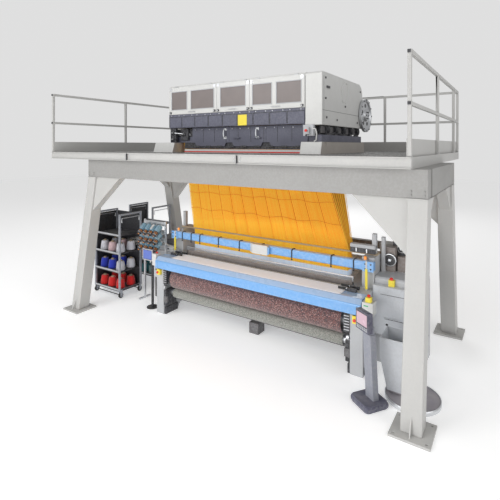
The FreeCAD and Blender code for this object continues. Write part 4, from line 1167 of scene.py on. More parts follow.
@dataclass
class JacquardHead(SubAssembly):
    """Head on the deck: doors, panels, cabinet, cap, hook modules and stands."""

    window_low: float = 0.07
    window_high: float = 0.32
    sunk: float = 0.012
    panel_count: int = 9

    def build(self) -> None:
        """Make every piece of the head."""
        for name in DOOR_WINDOWS:
            self.door(name)
        self.panels()
        self.dress("drive_end_case", WHITE, "white_paint", 0.006)
        self.dress("far_end_cap", WHITE, "white_paint", 0.008)
        self.dress("head_roof", WHITE, "white_paint", 0.004)
        self.dress("head_frame", ANTHRACITE, "dark_paint", 0.002)
        # Front faces stay white; all other pedestal faces take the darker beige, which is painted shade.
        self.dress("head_pedestals", (WHITE, PEDESTAL_SHADE), "white_paint", 0.005,
            pick=lambda spot: 0 if spot.y < -1.06 else 1)
        self.dress("disc_bearing_box", CASTING, "grey_cast", 0.006)
        self.dress("door_hinges", STEEL, "bright_steel", 0.001)
        self.modules()
        self.cabinet_details()
        self.back_louvres()
        self.understructure()
        self.disc()
        self.control_box()

    def door(self, name: str) -> None:
        """Door leaf with sunk panes, grey rims that paint the shadow lines round them, latches and a
        grip.
        """
        node, edges = f"head_door_{name}", DOOR_WINDOWS[name]
        self.dress(node, WHITE, "white_paint", 0.003)
        leaf = Room.of(node)
        long, _, tall = leaf.size
        panes, rims, fittings = (Shape(*finishes).at(*leaf.low) for finishes in ((GLASS,), (GREY,),
            (BLACK, STEEL)))
        low, high = self.window_low, self.window_low + self.window_high
        for left, right in zip(edges[::2], edges[1::2]):
            left, right = left * long, right * long
            panes.box((left + 0.004, self.sunk - 0.005, low + 0.004),
                (right - 0.004, self.sunk + 0.001, high - 0.004))
            # Grey rims round the panes: painted shadow lines at the edges of the sunk windows.
            rims.border((left, right, low, high), 0.012, (-0.003, 0.009), lap=0.001)
        for x in (0.04 * long, 0.96 * long):
            fittings.boxes(((x - 0.018, -0.016, 0.012), (x + 0.018, 0.001, 0.045)),
                ((x - 0.022, -0.006, tall - 0.062), (x + 0.022, 0.001, tall - 0.008), 1))
            fittings.lathe([(0, 0.009), (0.008, 0.009), (0.01, 0.006)], (x, -0.015, 0.028), -Y_DIR, 16,
                1)
        fittings.tube(bow(long / 2, 0.07, -0.022, 0.034), 0.005, 8, 1)
        panes.piece(f"panes_{name}", "dark_plastic", node, 0.001)
        rims.piece(f"window_rims_{name}", "grey_paint", node, 0.002)
        fittings.piece(f"door_fittings_{name}", "black_steel", node, 0.0015)

    def panels(self) -> None:
        """Dark upper panels with raised fields, notched lower panels, rivets and handles."""
        room, leaf = Room.of("head_panels"), Room.of("head_door_left")
        self.dress("head_panels", ANTHRACITE, "dark_paint", 0.002)
        top, front, start = leaf.low.z - 0.004, leaf.low.y + 0.004, room.low.x
        foot, pitch = top - 0.223, room.size.x / self.panel_count
        shape, rivets = Shape(ANTHRACITE, BLACK), []
        for i in range(self.panel_count):
            shape.at(start + i * pitch, front,
                top).boxes(((0.022, -0.006, -0.211), (pitch - 0.004, 0.001, -0.05)),
                ((0.004, -0.002, -0.211), (0.018, 0.001, -0.042), 1),
                ((0.004, -0.002, -0.046), (pitch - 0.004, 0.001, -0.036), 1))
            rivets += [((start + (i + share) * pitch, front - 0.001, top - 0.018), -Y_DIR) for share in
                (0.2, 0.8)]
        lower, left, long = Room.of("hook_modules").low.y, start + 0.44, room.size.x - 0.46
        pitch = long / self.panel_count
        shape.at(left, lower, room.low.z)
        for x in (i * pitch for i in range(1, self.panel_count)):
            shape.box((x - 0.003, -0.023, 0.07), (x + 0.003, -0.018, foot - room.low.z - 0.02), 1)
        shape.box((-0.2, 0.002, -0.045), (long, 0.006, 0.09), 1)
        for x in ((i + 0.25) * pitch for i in range(self.panel_count)):
            shape.box((x, -0.023, -0.012), (x + 0.1, -0.005, 0.012), 1)
        shape.piece("panel_fields", "dark_paint", bevel=0.002)
        rivets += [((x, lower - 0.021, foot - 0.035), -Y_DIR) for x in spread(left + 0.06,
            room.high.x - 0.08, 14)]
        studs("panel_rivets", rivets, ALUMINIUM, "aluminium", sides=8, radius=0.01, crown=0.006,
            height=0.006)
        handles = Shape(STEEL)
        for x in (start + 1.13, start + 1.74):
            handles.at(x, lower, foot - 0.11).tube([(0, -0.022, 0.055), (0, -0.062, 0.05), (0, -0.07, 0),
                (0, -0.062, -0.05), (0, -0.022, -0.055)], 0.01, 10)
            for z in (-0.085, 0.045):
                handles.box((-0.028, -0.027, z), (0.028, -0.019, z + 0.04))
        handles.piece("lower_panel_grips", "bright_steel", bevel=0.002)
        plate = Shape(YELLOW).at(start + 1.54, front, foot)
        plate.box((-0.082, -0.012, 0.004), (0.082, -0.005, 0.168))
        plate.piece("blank_yellow_plate", "yellow_plastic", bevel=0.004)

    def modules(self) -> None:
        """Hook housings with a row of clamps along their feet."""
        self.dress("hook_modules", BLACK, "dark_plastic", 0.004)
        room, shape = Room.of("hook_modules"), Shape(ALUMINIUM, BLACK)
        for x in spread(room.low.x + 0.06, room.high.x - 0.06, 24):
            shape.at(x, room.low.y, room.low.z).box((-0.02, -0.01, 0.02), (0.02, 0.002, 0.055))
        shape.piece("module_clamps", "aluminium", bevel=0.002)

    def cabinet_details(self) -> None:
        """Fasteners, seam and pressed oval on the cabinet, ribs on the cap."""
        case, cap = Room.of("drive_end_case"), Room.of("far_end_cap")
        side, near, far = case.high.x, case.low.y, case.high.y
        dots = [(near + 0.12, 3.7), (near + 0.12, 3.42), (near + 0.15, 3.16), (-0.17, 3.36),
            (0.53, 3.66), (0.38, 3.14), (-0.5, 3.14), (0.55, 3.36)]
        studs("cabinet_fasteners", [((side + 0.003, y, z), X_DIR) for y, z in dots], BLACK,
            "dark_plastic", sides=12, radius=0.017, crown=0.013, height=0.008)
        shape = Shape(BLACK, WHITE, GREY).at(side, 0, 0)
        shape.boxes(((-0.002, near + 0.02, 3.252), (0.0012, far - 0.03, 3.257)),
            ((-0.002, near + 0.06, 3.09), (0.0012, near + 0.064, 3.72)),
            ((-0.002, near + 0.15, 3.565), (0.016, near + 0.25, 3.595)))
        for bulge in (-0.13, 0.13):
            shape.tube([(0.001, -0.19 + bulge * cos(a) + 0.02 * sin(a), 3.57 + 0.165 * sin(a)) for a in
                spread(-1.25, 1.25, 13)], 0.01, 8, 1)
        shape.at(case.low.x, near, 0).box((0.002, -0.0012, 3.1), (0.006, 0.002, case.high.z - 0.05))
        shape.piece("cabinet_seams", "white_paint", bevel=0.0)
        ribs = Shape(WHITE)
        for z in (cap.low.z + 0.05, cap.high.z - 0.06):
            ribs.at(cap.low.x, 0, z).box((0.002, cap.low.y + 0.14, 0), (0.02, cap.high.y - 0.14, 0.018))
        ribs.piece("cap_ribs", "white_paint", bevel=0.003)

    def back_louvres(self) -> None:
        """Vent slats, seams and bolts on the back wall of the head."""
        room, shape = Room.of("head_roof"), Shape(WHITE, BLACK)
        start, back, long = room.low.x, room.high.y, room.size.x
        for left in (0.25, 1.05, 1.85):
            shape.at(start + left, back, 0).box((0, -0.002, 3.16), (0.5, 0.001, 3.52), 1)
            for z in spread(3.18, 3.5, 12):
                shape.prism([(0, z - 0.01), (0.016, z - 0.012), (0.016, z - 0.008), (0, z + 0.01)], 0, 0,
                    0.5)
        for share in THIRDS:
            shape.at(start + share * long, back, 0).box((-0.002, -0.001, room.low.z + 0.02),
                (0.002, 0.0015, room.high.z - 0.03), 1)
        shape.piece("back_louvres", "white_paint", bevel=0.001)
        places = [((start + share * long, back + 0.002, z), Y_DIR) for share in (0.02, 0.32, 0.345,
            0.655, 0.68, 0.98) for z in (2.98, 3.36, 3.72)]
        studs("back_screws", places, STEEL, "bright_steel", sides=12, radius=0.011, crown=0.008,
            height=0.006)

    def understructure(self) -> None:
        """Black linkage castings under both ends of the head."""
        case, cap = Room.of("drive_end_case"), Room.of("far_end_cap")
        low, high, x = 2.925, case.low.z, case.high.x - 0.078
        near, far = case.low.y, case.high.y
        shape = Shape(BLACK, STEEL, DARK_CABINET)
        for y in spread(near + 0.28, far - 0.16, 5):
            shape.at(x, y, high).box((0, -0.045, low - 0.1 - high), (0.05, 0.045, 0))
            shape.lathe([(0, 0.052), (0.016, 0.052), (0.02, 0.04), (0.028, 0.018)], (0.05, 0, -0.055),
                X_DIR, 20)
            shape.lathe([(0, 0.014), (0.008, 0.014), (0.01, 0.01)], (0.066, 0, -0.055), X_DIR, 12, 1)
        shape.at(x, 0, low).tube([(0.03, near + 0.1, -0.035), (0.03, near + 0.6, 0.03),
            (0.03, far - 0.4, -0.03), (0.03, far - 0.1, 0.04)], 0.018, 12)
        shape.box((-0.01, near + 0.14, 0.02), (0.02, far - 0.06, high - low - 0.01), 2)
        shape.piece("drive_linkage", "black_steel", bevel=0.004)
        shape = Shape(BLACK, STEEL).at(cap.high.x, cap.low.y + 0.03, 0)
        shape.boxes(((0.01, 0, 2.83), (0.13, 0.05, cap.low.z)),
            ((0.19, 0.06, 2.86), (0.36, 0.12, cap.low.z - 0.02)))
        for x, y, z in ((0.07, 0, 2.99), (0.07, 0, 2.88), (0.26, 0.06, 2.97)):
            shape.lathe([(0, 0.042), (0.014, 0.042), (0.02, 0.03), (0.026, 0.012)], (x, y, z), -Y_DIR,
                20)
            shape.lathe([(0, 0.012), (0.012, 0.012), (0.014, 0.008)], (x, y - 0.02, z), -Y_DIR, 12, 1)
        shape.tube([(0.07, -0.01, 2.99), (0.26, 0.04, 2.97)], 0.012, 10, 1)
        shape.piece("far_linkage", "black_steel", bevel=0.004)

    def disc(self) -> None:
        """Drive disc with a stepped face, holes and bolts; it turns."""
        room = Room.of("drive_disc")
        rim, face, y, z = room.size.z / 2, room.high.x - 0.058, room.middle.y, room.middle.z
        back = room.low.x - face
        shape = Shape(STEEL, BLACK, ALUMINIUM).at(face, y, z)
        shape.lathe([(back, 0.0), (back, 0.0295), (0, 0.0295), (0, rim), (0.04, rim),
            (0.04, rim - 0.035), (0.018, rim - 0.05), (0.018, 0.105), (0.052, 0.085), (0.052, 0.0)],
            HERE, X_DIR, 64, [0, 0, 2, 0, 0, 0, 2, 0, 0])
        for a in turns(5, 0.3):
            shape.lathe([(0, 0.034), (0.004, 0.034), (0.006, 0.03)],
                (0.0165, 0.165 * cos(a), 0.165 * sin(a)), X_DIR, 20, 1)
        shape.piece("drive_disc_turned", "bright_steel", "drive_disc", 0.002, replaces=["drive_disc"])
        bolts = [((face + out, y + radius * cos(a), z + radius * sin(a)), X_DIR) for out, radius,
            count in ((0.054, 0.06, 6), (0.043, 0.262, 12)) for a in turns(count)]
        studs("disc_bolts", bolts, BLACK, "black_steel", "drive_disc", radius=0.011, crown=0.01,
            height=0.01)

    def control_box(self) -> None:
        """Pendant box with its stop button, a black key and a bent guard tube."""
        button = Room.of("stop_button_head")
        shape = Shape(BLACK, WHITE).at(button.middle.x, button.high.y - 0.024, button.middle.z)
        shape.lathe([(0, 0.013), (0.01, 0.013), (0.013, 0.009)], (0, 0, -0.062), -Y_DIR, 16)
        shape.tube([(0.085, 0.01, 0.03), (0.135, 0, 0.02), (0.15, 0, -0.05), (0.135, 0.02, -0.125),
            (0.1, 0.03, -0.145)], 0.009, 10, 1)
        shape.piece("control_box_fittings", "black_steel", bevel=0.001)
        self.dress("stop_button_head", RED, "red_plastic", 0.004)


# ---- harness and loom

@dataclass
class Harness(SubAssembly):
    """Orange harness cords, comber board, heald wires and their springs."""

    columns: int = 230
    rows: int = 14
    column_gap: int = 19
    cord_radius: float = 0.0042
    coupling: float = 0.272
    heald_count: int = 240

    def build(self) -> None:
        """Make every piece between the head and the warp."""
        self.dress("comber_board", BOARD, "board", 0.002)
        self.cords()
        self.healds()
        self.carrier()

    def cords(self) -> None:
        """Fan of cords in rows, wavy ties across it, and an inner body of crowded cords in darker
        orange, partly painted shade.
        """
        top = (-0.828, 1.651, -0.863, 0.003, Room.of("hook_modules").low.z - 0.0004)
        foot = (-0.728, 2.098, -0.718, -0.552, Room.of("comber_board").high.z + 0.0004)

        def cord(a: float, b: float) -> list[Vector]:
            """Upper and lower end of the cord at these shares across and back."""
            return [Vector((low + a * (high - low), front + b * (back - front), z)) for low, high, front,
                back, z in (top, foot)]

        lines = [cord((i + (0.5 if j % 2 else 0.0)) / self.columns, b) for j,
            b in enumerate(spread(0, 1, self.rows)) for i in range(self.columns) if i % self.column_gap]
        strands("harness_strands", lines, CORDS_PAINTED_GLOW, "orange_cord", self.cord_radius,
            replaces=["harness_cords"])
        ties = []
        for share, swing in ((0.1, 0.012), (0.27, 0.01), (0.44, 0.022), (0.6, 0.008), (0.78, 0.01)):
            ties.append([])
            for a in spread(0, 1, 61):
                upper, lower = cord(a, 0.0)
                height = share + swing * sin(a * 31.0 + share * 20.0)
                ties[-1].append(upper.lerp(lower, height) + Vector((0, -0.007, 0)))
        strands("harness_ties", ties, TIES, "orange_cord", 0.0035)
        # Solid darker orange core: it stands for the crowded inner cords and paints the shade among
        # them.
        core = Shape(TIES).skin([[(low + 0.02, front + 0.02, z), (high - 0.02, front + 0.02, z),
            (high - 0.02, back - 0.02, z), (low + 0.02, back - 0.02, z)] for low, high, front, back,
            z in (top, foot)])
        core.piece("harness_shade_core", "orange_cord", bevel=0.0)

    def healds(self) -> None:
        """Heald wires with their couplings from the comber board down past the warp."""
        board, left, right = Room.of("comber_board"), -0.7, 2.08
        low, near, far, drop = board.low.z, board.low.y, board.high.y, self.coupling
        spots = [(left + (i + 0.2 * j) / self.heald_count * (right - left), y) for j,
            y in enumerate(spread(near + 0.03, far - 0.03, 5)) for i in range(self.heald_count)]
        strands("heald_wires", [[(x, y, low - drop + 0.003), (x, y, 0.9)] for x, y in spots], HEALDS_PAINTED_LIGHT,
            "grey_paint", 0.0042)
        strands("heald_couplings", [[(x, y, low - 0.0005), (x, y, low - drop)] for x, y in spots], CORDS_PAINTED_GLOW,
            "orange_cord", 0.005)
        springs = [[(x, y, 0.9), (x, y, 0.33)] for y in spread(near + 0.04, far - 0.04, 3) for x in
            spread(left, right, 150)]
        strands("return_springs", springs, HEALDS_PAINTED_LIGHT, "grey_paint", 0.003)

    def carrier(self) -> None:
        """Carrying rail of the comber board beyond the cords, and its uprights."""
        board = Room.of("comber_board")
        start, end, top = board.low.x + 0.02, board.high.x - 0.02, board.high.z
        shape = Shape(BLACK, FRAME_PAINT, STEEL).at(0, board.low.y, 0)
        shape.boxes(((2.125, -0.03, top), (end, 0, 1.405), 0),
            ((2.125, -0.035, 1.405), (end, 0.05, 1.45), 1), ((end - 0.055, 0.02, top), (end, 0.08, 1.6),
            1), ((start, 0.02, top), (start + 0.055, 0.08, 1.6), 1),
            ((2.2, -0.036, 1.345), (2.218, -0.029, 1.4), 2),
            ((2.34, -0.036, 1.345), (2.358, -0.029, 1.4), 2))
        shape.piece("comber_carrier", "grey_paint", bevel=0.003)


@dataclass
class Loom(SubAssembly):
    """Loom frame, beams, reed, cloth, warp and rollers."""

    dents: int = 420
    warp_ends: int = 520
    cheek: float = 0.16
    wide: float = 3.15

    def build(self) -> None:
        """Make every piece of the loom."""
        for side in ("left", "right"):
            self.dress(f"{side}_side_frame", FRAME_PAINT, "grey_cast", 0.006)
        self.dress("cross_members", DARK_CABINET, "dark_paint", 0.004)
        cover, beam = Room.of("breast_beam_cover"), Room.of("upper_beam")
        # The top faces take the paler blue as a painted highlight; the rest keeps the plain blue paint.
        self.dress("breast_beam_cover", (BLUE, BLUE_HIGHLIGHT), "blue_paint", 0.006,
            pick=lambda spot: 1 if spot.z > cover.high.z - 0.045 else 0)
        self.dress("upper_beam", (BLUE, BLUE_HIGHLIGHT), "blue_paint", 0.016,
            pick=lambda spot: 1 if spot.z > beam.high.z - 0.01 else 0)
        self.dress("temple_bar", BLACK, "black_steel", 0.002)
        self.dress("sley", CASTING, "grey_cast", 0.004)
        self.dress("whip_roller", STEEL, "bright_steel", 0.002)
        self.fittings()
        self.cover_ends()
        self.reed()
        self.cloth()
        self.guide_and_temples()
        self.warp()
        self.rollers()
        self.frame_castings()
        self.stops()

    def fittings(self) -> None:
        """Hook clips over the upper beam, sensor poles with sleeves, lamps and a small box."""
        beam, room = Room.of("upper_beam"), Room.of("beam_fittings")
        shape = Shape(BLACK, WHITE, YELLOW, AMBER, BLUE, GREY)
        front, tall = beam.low.y, beam.size.z
        for x in (-0.76, -0.56, -0.37, 0.02, 0.43, 0.83, 1.34, 1.93, 2.24):
            shape.at(x, front, beam.low.z).tube([(0, -0.006, -0.02), (0, -0.008, 0.02),
                (0, -0.008, tall - 0.015), (0.004, 0.006, tall + 0.006), (0.014, 0.03, tall + 0.012),
                (0.024, 0.055, tall + 0.008)], 0.0075)
            shape.box((-0.012, -0.012, -0.03), (0.012, 0.002, -0.012))
        for x, low, high in ((-0.92, 0.965, 1.19), (2.41, 0.94, 1.2)):
            sleeve = high - low
            shape.at(x, room.low.y + 0.011, 0)
            shape.lathe([(0, 0.011), (room.size.z - 0.05, 0.011)], (0, 0, room.low.z), Z_DIR, 16, 1)
            shape.lathe([(0, 0.012), (0.004, 0.0165), (sleeve - 0.004, 0.0165), (sleeve, 0.012)],
                (0, 0, low), Z_DIR, 20, 2)
        for x in (-0.89, 2.38):
            shape.at(x, beam.middle.y, beam.high.z).lathe([(0, 0.024), (0.012, 0.024), (0.012, 0.02),
                (0.045, 0.019), (0.055, 0.013), (0.0595, 0.0)], HERE, Z_DIR, 24, [5, 5, 3, 3, 3])
        shape.at(0, front, beam.low.z)
        for x in (beam.low.x + 0.002, beam.high.x - 0.142):
            shape.box((x, -0.01, -0.006), (x + 0.14, 0.001, tall + 0.003), 4)
        shape.boxes(((0.7, -0.052, -0.012), (0.96, -0.001, tall + 0.006), 1),
            ((0.665, -0.048, -0.004), (0.702, -0.001, tall + 0.016), 5),
            ((0.958, -0.046, 0.004), (0.985, -0.001, tall - 0.012), 4))
        shape.piece("beam_clips_and_lamps", "black_steel", bevel=0.0025, replaces=["beam_fittings"])
        bolts = [((x + side, front - 0.012, z), -Y_DIR) for x in (beam.low.x + 0.07, beam.high.x - 0.07)
            for side in (-0.035, 0.035) for z in (beam.low.z + 0.03, beam.high.z - 0.03)]
        studs("beam_end_bolts", bolts, BLACK, "black_steel", radius=0.011, crown=0.01, height=0.008)

    def cover_ends(self) -> None:
        """End cheeks, a black strip painted as the shadow gap under the cover, and bolts of the breast
        cover.
        """
        cover, shape = Room.of("breast_beam_cover"), Shape(BLACK, BLUE, STEEL)
        for x, way in ((cover.low.x, 1), (cover.high.x, -1)):
            shape.at(x, cover.low.y, cover.low.z)
            shape.box((way * 0.045, -0.0012, 0.01), (way * 0.049, 0.004, cover.size.z - 0.07))
            shape.lathe([(0, 0.026), (0.012, 0.026), (0.014, 0.018), (0.022, 0.016)],
                (way * 0.09, 0.04, 0), -Z_DIR, 20)
        # Black strip along the foot of the cover: painted shadow under it.
        shape.at(*cover.low).box((0.02, 0.012, -0.006), (cover.size.x - 0.02, 0.03, 0.002))
        shape.piece("cover_end_fittings", "black_steel", bevel=0.002)

    def reed(self) -> None:
        """Reed with two baulks and a row of dents; it rocks with the sley."""
        room, band = Room.of("reed"), 0.1
        long, deep, tall = room.size
        y, low, high = room.middle.y, room.low.z + band - 0.004, room.high.z - 0.01
        lines = [[(x, y, low), (x, y, high)] for x in spread(room.low.x + 0.02, room.high.x - 0.02,
            self.dents)]
        strands("reed_dents", lines, DENTS, "bright_steel", 0.0013, "sley", 4)
        shape = Shape(ALUMINIUM, DUN).at(*room.low)
        shape.boxes((HERE, (long, deep, band), 1), ((0, 0, tall - 0.014), (long, deep, tall)),
            ((0, 0, 0.018), (0.016, deep, tall - 0.018)),
            ((long - 0.016, 0, 0.018), (long, deep, tall - 0.018)))
        shape.piece("reed_baulks", "bright_steel", "sley", 0.002, replaces=["reed"])

    def cloth(self) -> None:
        """Woven cloth from the fell to the front of the cover, with a faint swell."""
        room = Room.of("woven_cloth")
        rng = random.Random(5)
        across, along = 90, 14
        waves = [(rng.uniform(2, 9), rng.uniform(0, tau), rng.uniform(0.2, 0.6)) for _ in range(5)]
        points = []
        for j in range(along + 1):
            edge = sin(pi * j / along)
            for i in range(across + 1):
                x = room.low.x + room.size.x * i / across
                swell = sum(size * sin(rate * x + phase) for rate, phase, size in waves)
                points.append((x, room.low.y + room.size.y * j / along,
                    room.low.z + 0.0012 + 0.0006 * edge * swell))
        row = across + 1
        faces = [(k, k + 1, k + row + 1, k + row) for j in range(along) for k in range(j * row,
            j * row + across)]
        data = bpy.data.meshes.new("cloth_run")
        data.from_pydata(points, [], faces)
        data.materials.append(PALE_CLOTH_PAINTED_LIGHT.material())
        data.shade_smooth()
        item = linked("cloth_run_flat", data)
        wall = item.modifiers.new("wall", "SOLIDIFY")
        wall.thickness = 0.0012
        wall.offset = 1.0
        cloth = enlist(evaluated_copy(item, "cloth_run"), MACHINE, ["woven_cloth"])

    def guide_and_temples(self) -> None:
        """Strips of the weft guide on the cloth, and the temples at its edges."""
        room = Room.of("woven_cloth")
        back, wide = room.high.y, room.size.x + 0.12
        strips = Shape(BLACK, CREAM, DARK_CABINET).at(room.low.x - 0.06, back, room.low.z + 0.0045)
        strips.boxes(((0, -0.038, 0), (wide, -0.032, 0.005), 2), ((0, -0.031, 0), (wide, -0.018, 0.006),
            1), ((0, -0.017, 0), (wide, -0.008, 0.009)))
        strips.piece("weft_guide_strips", "black_steel", bevel=0.002)
        ends = Shape(BLACK, STEEL, RUBBER)
        for x, way in ((room.high.x + 0.03, 1), (room.low.x - 0.03, -1)):
            for y in (back - 0.05, back - 0.16):
                ends.at(x, y, room.low.z - 0.004)
                ends.box((0, -0.02, 0.006), (way * 0.12, 0.02, 0.046))
                ends.lathe([(0, 0.0), (0, 0.016), (0.1, 0.016), (0.1, 0.0)], (-way * 0.12, 0, 0.03),
                    (way, 0, 0), 16, 2)
                ends.lathe([(0, 0.008), (0.03, 0.008)], (-way * 0.02, 0, 0.03), (way, 0, 0), 12, 1)
        ends.piece("temples", "black_steel", bevel=0.002)

    def warp(self) -> None:
        """Warp threads from the reed over the whip roller and down to the beam."""
        whip, beam = Room.of("whip_roller"), Room.of("warp_beam")
        over, y, behind = whip.high.z + 0.003, whip.middle.y, whip.high.y + 0.0035
        climb = (over - 0.94) / (y + 0.8)
        lines = []
        for x in spread(-0.66, 2.15, self.warp_ends):
            lines.append([(x, -0.795, 0.943), (x, y - 0.004, 0.943 + climb * 0.85)])
            lines.append([(x, y + 0.002, over - 0.0005), (x, y + 0.045, over - 0.018),
                (x, behind - 0.008, whip.middle.z + 0.03), (x, behind, whip.middle.z - 0.01),
                (x, 0.334, beam.middle.z + 0.1)])
        strands("warp_threads", lines, WARP, "yarn", 0.0017, replaces=["warp_sheet"])

    def rollers(self) -> None:
        """Take-up roller with figured cloth, cloth roll, and the warp beam with its flanges."""
        cheek, wide, full = self.cheek, self.wide, 2 * self.cheek + self.wide
        for node, radius, shoulder, cloth in (("take_up_roller", 0.165, 0.06, DARK_CLOTH),
                ("cloth_roll", 0.078, 0.045, SAGE_CLOTH)):
            room = Room.of(node)
            ends = [(0, 0.0), (0, 0.0295), (cheek + 0.008, 0.0295), (cheek + 0.008, shoulder),
                (cheek + 0.122, shoulder), (cheek + 0.122, radius - 0.006)]
            swell = [(cheek + 0.135 + (wide - 0.27) * i / 30, radius - 0.0022 + 0.0018 * sin(i * 1.7) *
                cos(i * 0.6)) for i in range(31)]
            profile = ends + swell + [(full - along, r) for along, r in reversed(ends)]
            marks = [0] * 5 + [1] * (len(swell) + 1) + [0] * 5
            shape = Shape(STEEL, cloth)
            shape.lathe(profile, (room.low.x, room.middle.y, room.middle.z), X_DIR, 56, marks)
            shape.piece(f"{node}_wound", "cloth", node, 0.0, replaces=[node])
        room = Room.of("warp_beam")
        shape = Shape(ALUMINIUM, BEAM_YARN, STEEL).at(room.low.x, room.middle.y, room.middle.z)
        half = [(0, 0.0), (0, 0.0295), (cheek + 0.008, 0.0295), (cheek + 0.008, 0.088),
            (cheek + 0.092, 0.088), (cheek + 0.092, 0.385), (cheek + 0.087, 0.394),
            (cheek + 0.1, 0.3995), (cheek + 0.11, 0.394), (cheek + 0.11, 0.338)]
        profile = half + [(full - along, r) for along, r in reversed(half)]
        shape.lathe(profile, HERE, X_DIR, 72, [2] * 4 + [0] * 5 + [1] + [0] * 5 + [2] * 4)
        for x, way in ((room.low.x + cheek + 0.092, -1), (room.high.x - cheek - 0.092, 1)):
            centre = Matrix.Translation((x, room.middle.y, room.middle.z))
            for a in turns(8):
                shape.box((0, 0.09, -0.012), (way * 0.014, 0.37, 0.012), 0,
                    centre @ Matrix.Rotation(a, 4, "X"))
        shape.piece("warp_beam_wound", "yarn", "warp_beam", 0.0, replaces=["warp_beam"])

    def frame_castings(self) -> None:
        """Dark gear housings at both ends of the rollers, feet, bearing caps and gears."""
        shape = Shape(BLACK, DARK_CABINET, STEEL, FRAME_PAINT, RUBBER)
        take, roll = Room.of("take_up_roller"), Room.of("cloth_roll")
        left, right = Room.of("left_side_frame"), Room.of("right_side_frame")
        near = left.low.y
        blocks = [(0.002, take.low.y - 0.005 - near, roll.low.z - 0.11, 0.055, take.high.y - 0.09 - near,
            take.low.z - 0.01, 0), (0, 0.015, 0.0, 0.035, 0.3, 0.115, 0),
            (0, -0.012, 0.5, 0.07, 0.028, 0.73, 0), (0, -0.008, 0.2, 0.07, 0.028, 0.3, 1)]
        blocks += [(0, -0.022, z, 0.07, -0.01, z + 0.01, 2) for z in spread(0.53, 0.7, 6)]
        for face, way in ((left.high.x, 1), (right.low.x, -1)):
            shape.at(face, near, 0)
            for x, y, z, far_x, far_y, far_z, finish in blocks:
                shape.box((way * x, y, z), (way * far_x, far_y, far_z), finish)
            shape.lathe([(0, 0.03), (0.006, 0.034), (0.03, 0.034), (0.036, 0.03)],
                (way * 0.004, 0.01, 0.44), (way, 0, 0), 20, 2)
        for x, way in ((left.low.x, -1), (right.high.x, 1)):
            shape.at(x, 0, 0).boxes(((0, near + 0.04, 0.02), (way * 0.014, near + 0.36, 0.11)),
                ((0, -0.95, 0.15), (way * 0.014, -0.4, 0.6), 3),
                ((0, -0.3, 0.66), (way * 0.014, 0.1, 0.9), 3))
            for y, z in ((-1.165, 0.58), (-1.18, 0.335), (-0.76, 0.26), (0.0, 0.52), (0.06, 1.01)):
                shape.lathe([(0, 0.06), (0.01, 0.06), (0.016, 0.05)], (0, y, z), (way, 0, 0), 28, 2)
        shape.piece("frame_castings", "dark_plastic", bevel=0.003)
        y, z = take.middle.y, take.middle.z
        toothed("take_up_gear_teeth", [(left.high.x + 0.075, y, z), (right.low.x - 0.075, y, z)], BLACK,
            "take_up_roller", "black_steel", Count=48, Radius=0.128, Long=0.028, Wide=0.008, Tall=0.014)
        wheels = Shape(BLACK)
        for x in (left.high.x + 0.062, right.low.x - 0.088):
            wheels.lathe([(0, 0.0), (0, 0.122), (0.026, 0.122), (0.026, 0.0)], (x, y, z), X_DIR, 48)
        wheels.piece("take_up_gears", "black_steel", "take_up_roller", 0.002)

    def stops(self) -> None:
        """Yellow stop housings, the grey pendant body, red buttons and a green tag."""
        for side in ("left", "right"):
            self.dress(f"stop_button_{side}", RED, "red_plastic", 0.004)
        self.dress("stop_boxes", (YELLOW, GREY), "yellow_plastic", 0.006,
            pick=lambda spot: 1 if spot.z > 2.0 else 0)
        cover = Room.of("breast_beam_cover")
        low = 0.02 - cover.size.z
        shape = Shape(WHITE, GREEN, YELLOW, RED).at(cover.high.x + 0.012, cover.low.y, cover.high.z)
        shape.boxes(((0, 0.01, low), (0.13, 0.15, -0.01)),
            ((0.02, 0.0095, -0.055), (0.075, 0.0115, -0.04), 1),
            ((0.035, 0.03, -0.012), (0.1, 0.09, 0.045), 2))
        shape.lathe(mushroom(0.012, 0.021, 0.012, 0.012), (0.068, 0.06, 0.045), Z_DIR, 24, 3)
        shape.at(2.7, -0.9, 1.085).box((-0.035, 0, -0.079), (0.035, 0.06, 0), 2)
        shape.lathe(mushroom(0.01, 0.022, 0.012, 0.012), (0, 0.02, 0), (0, -0.5, 0.86), 24, 3)
        shape.at(cover.low.x - 0.012, cover.low.y, cover.high.z)
        shape.box((-0.09, 0.03, low), (0, 0.15, 0.03))
        shape.lathe(mushroom(0.01, 0.02, 0.01, 0.01), (-0.04, 0.09, 0.03), Z_DIR, 24, 3)
        shape.piece("beam_end_switches", "white_paint", bevel=0.004)


# ---- rapier drives

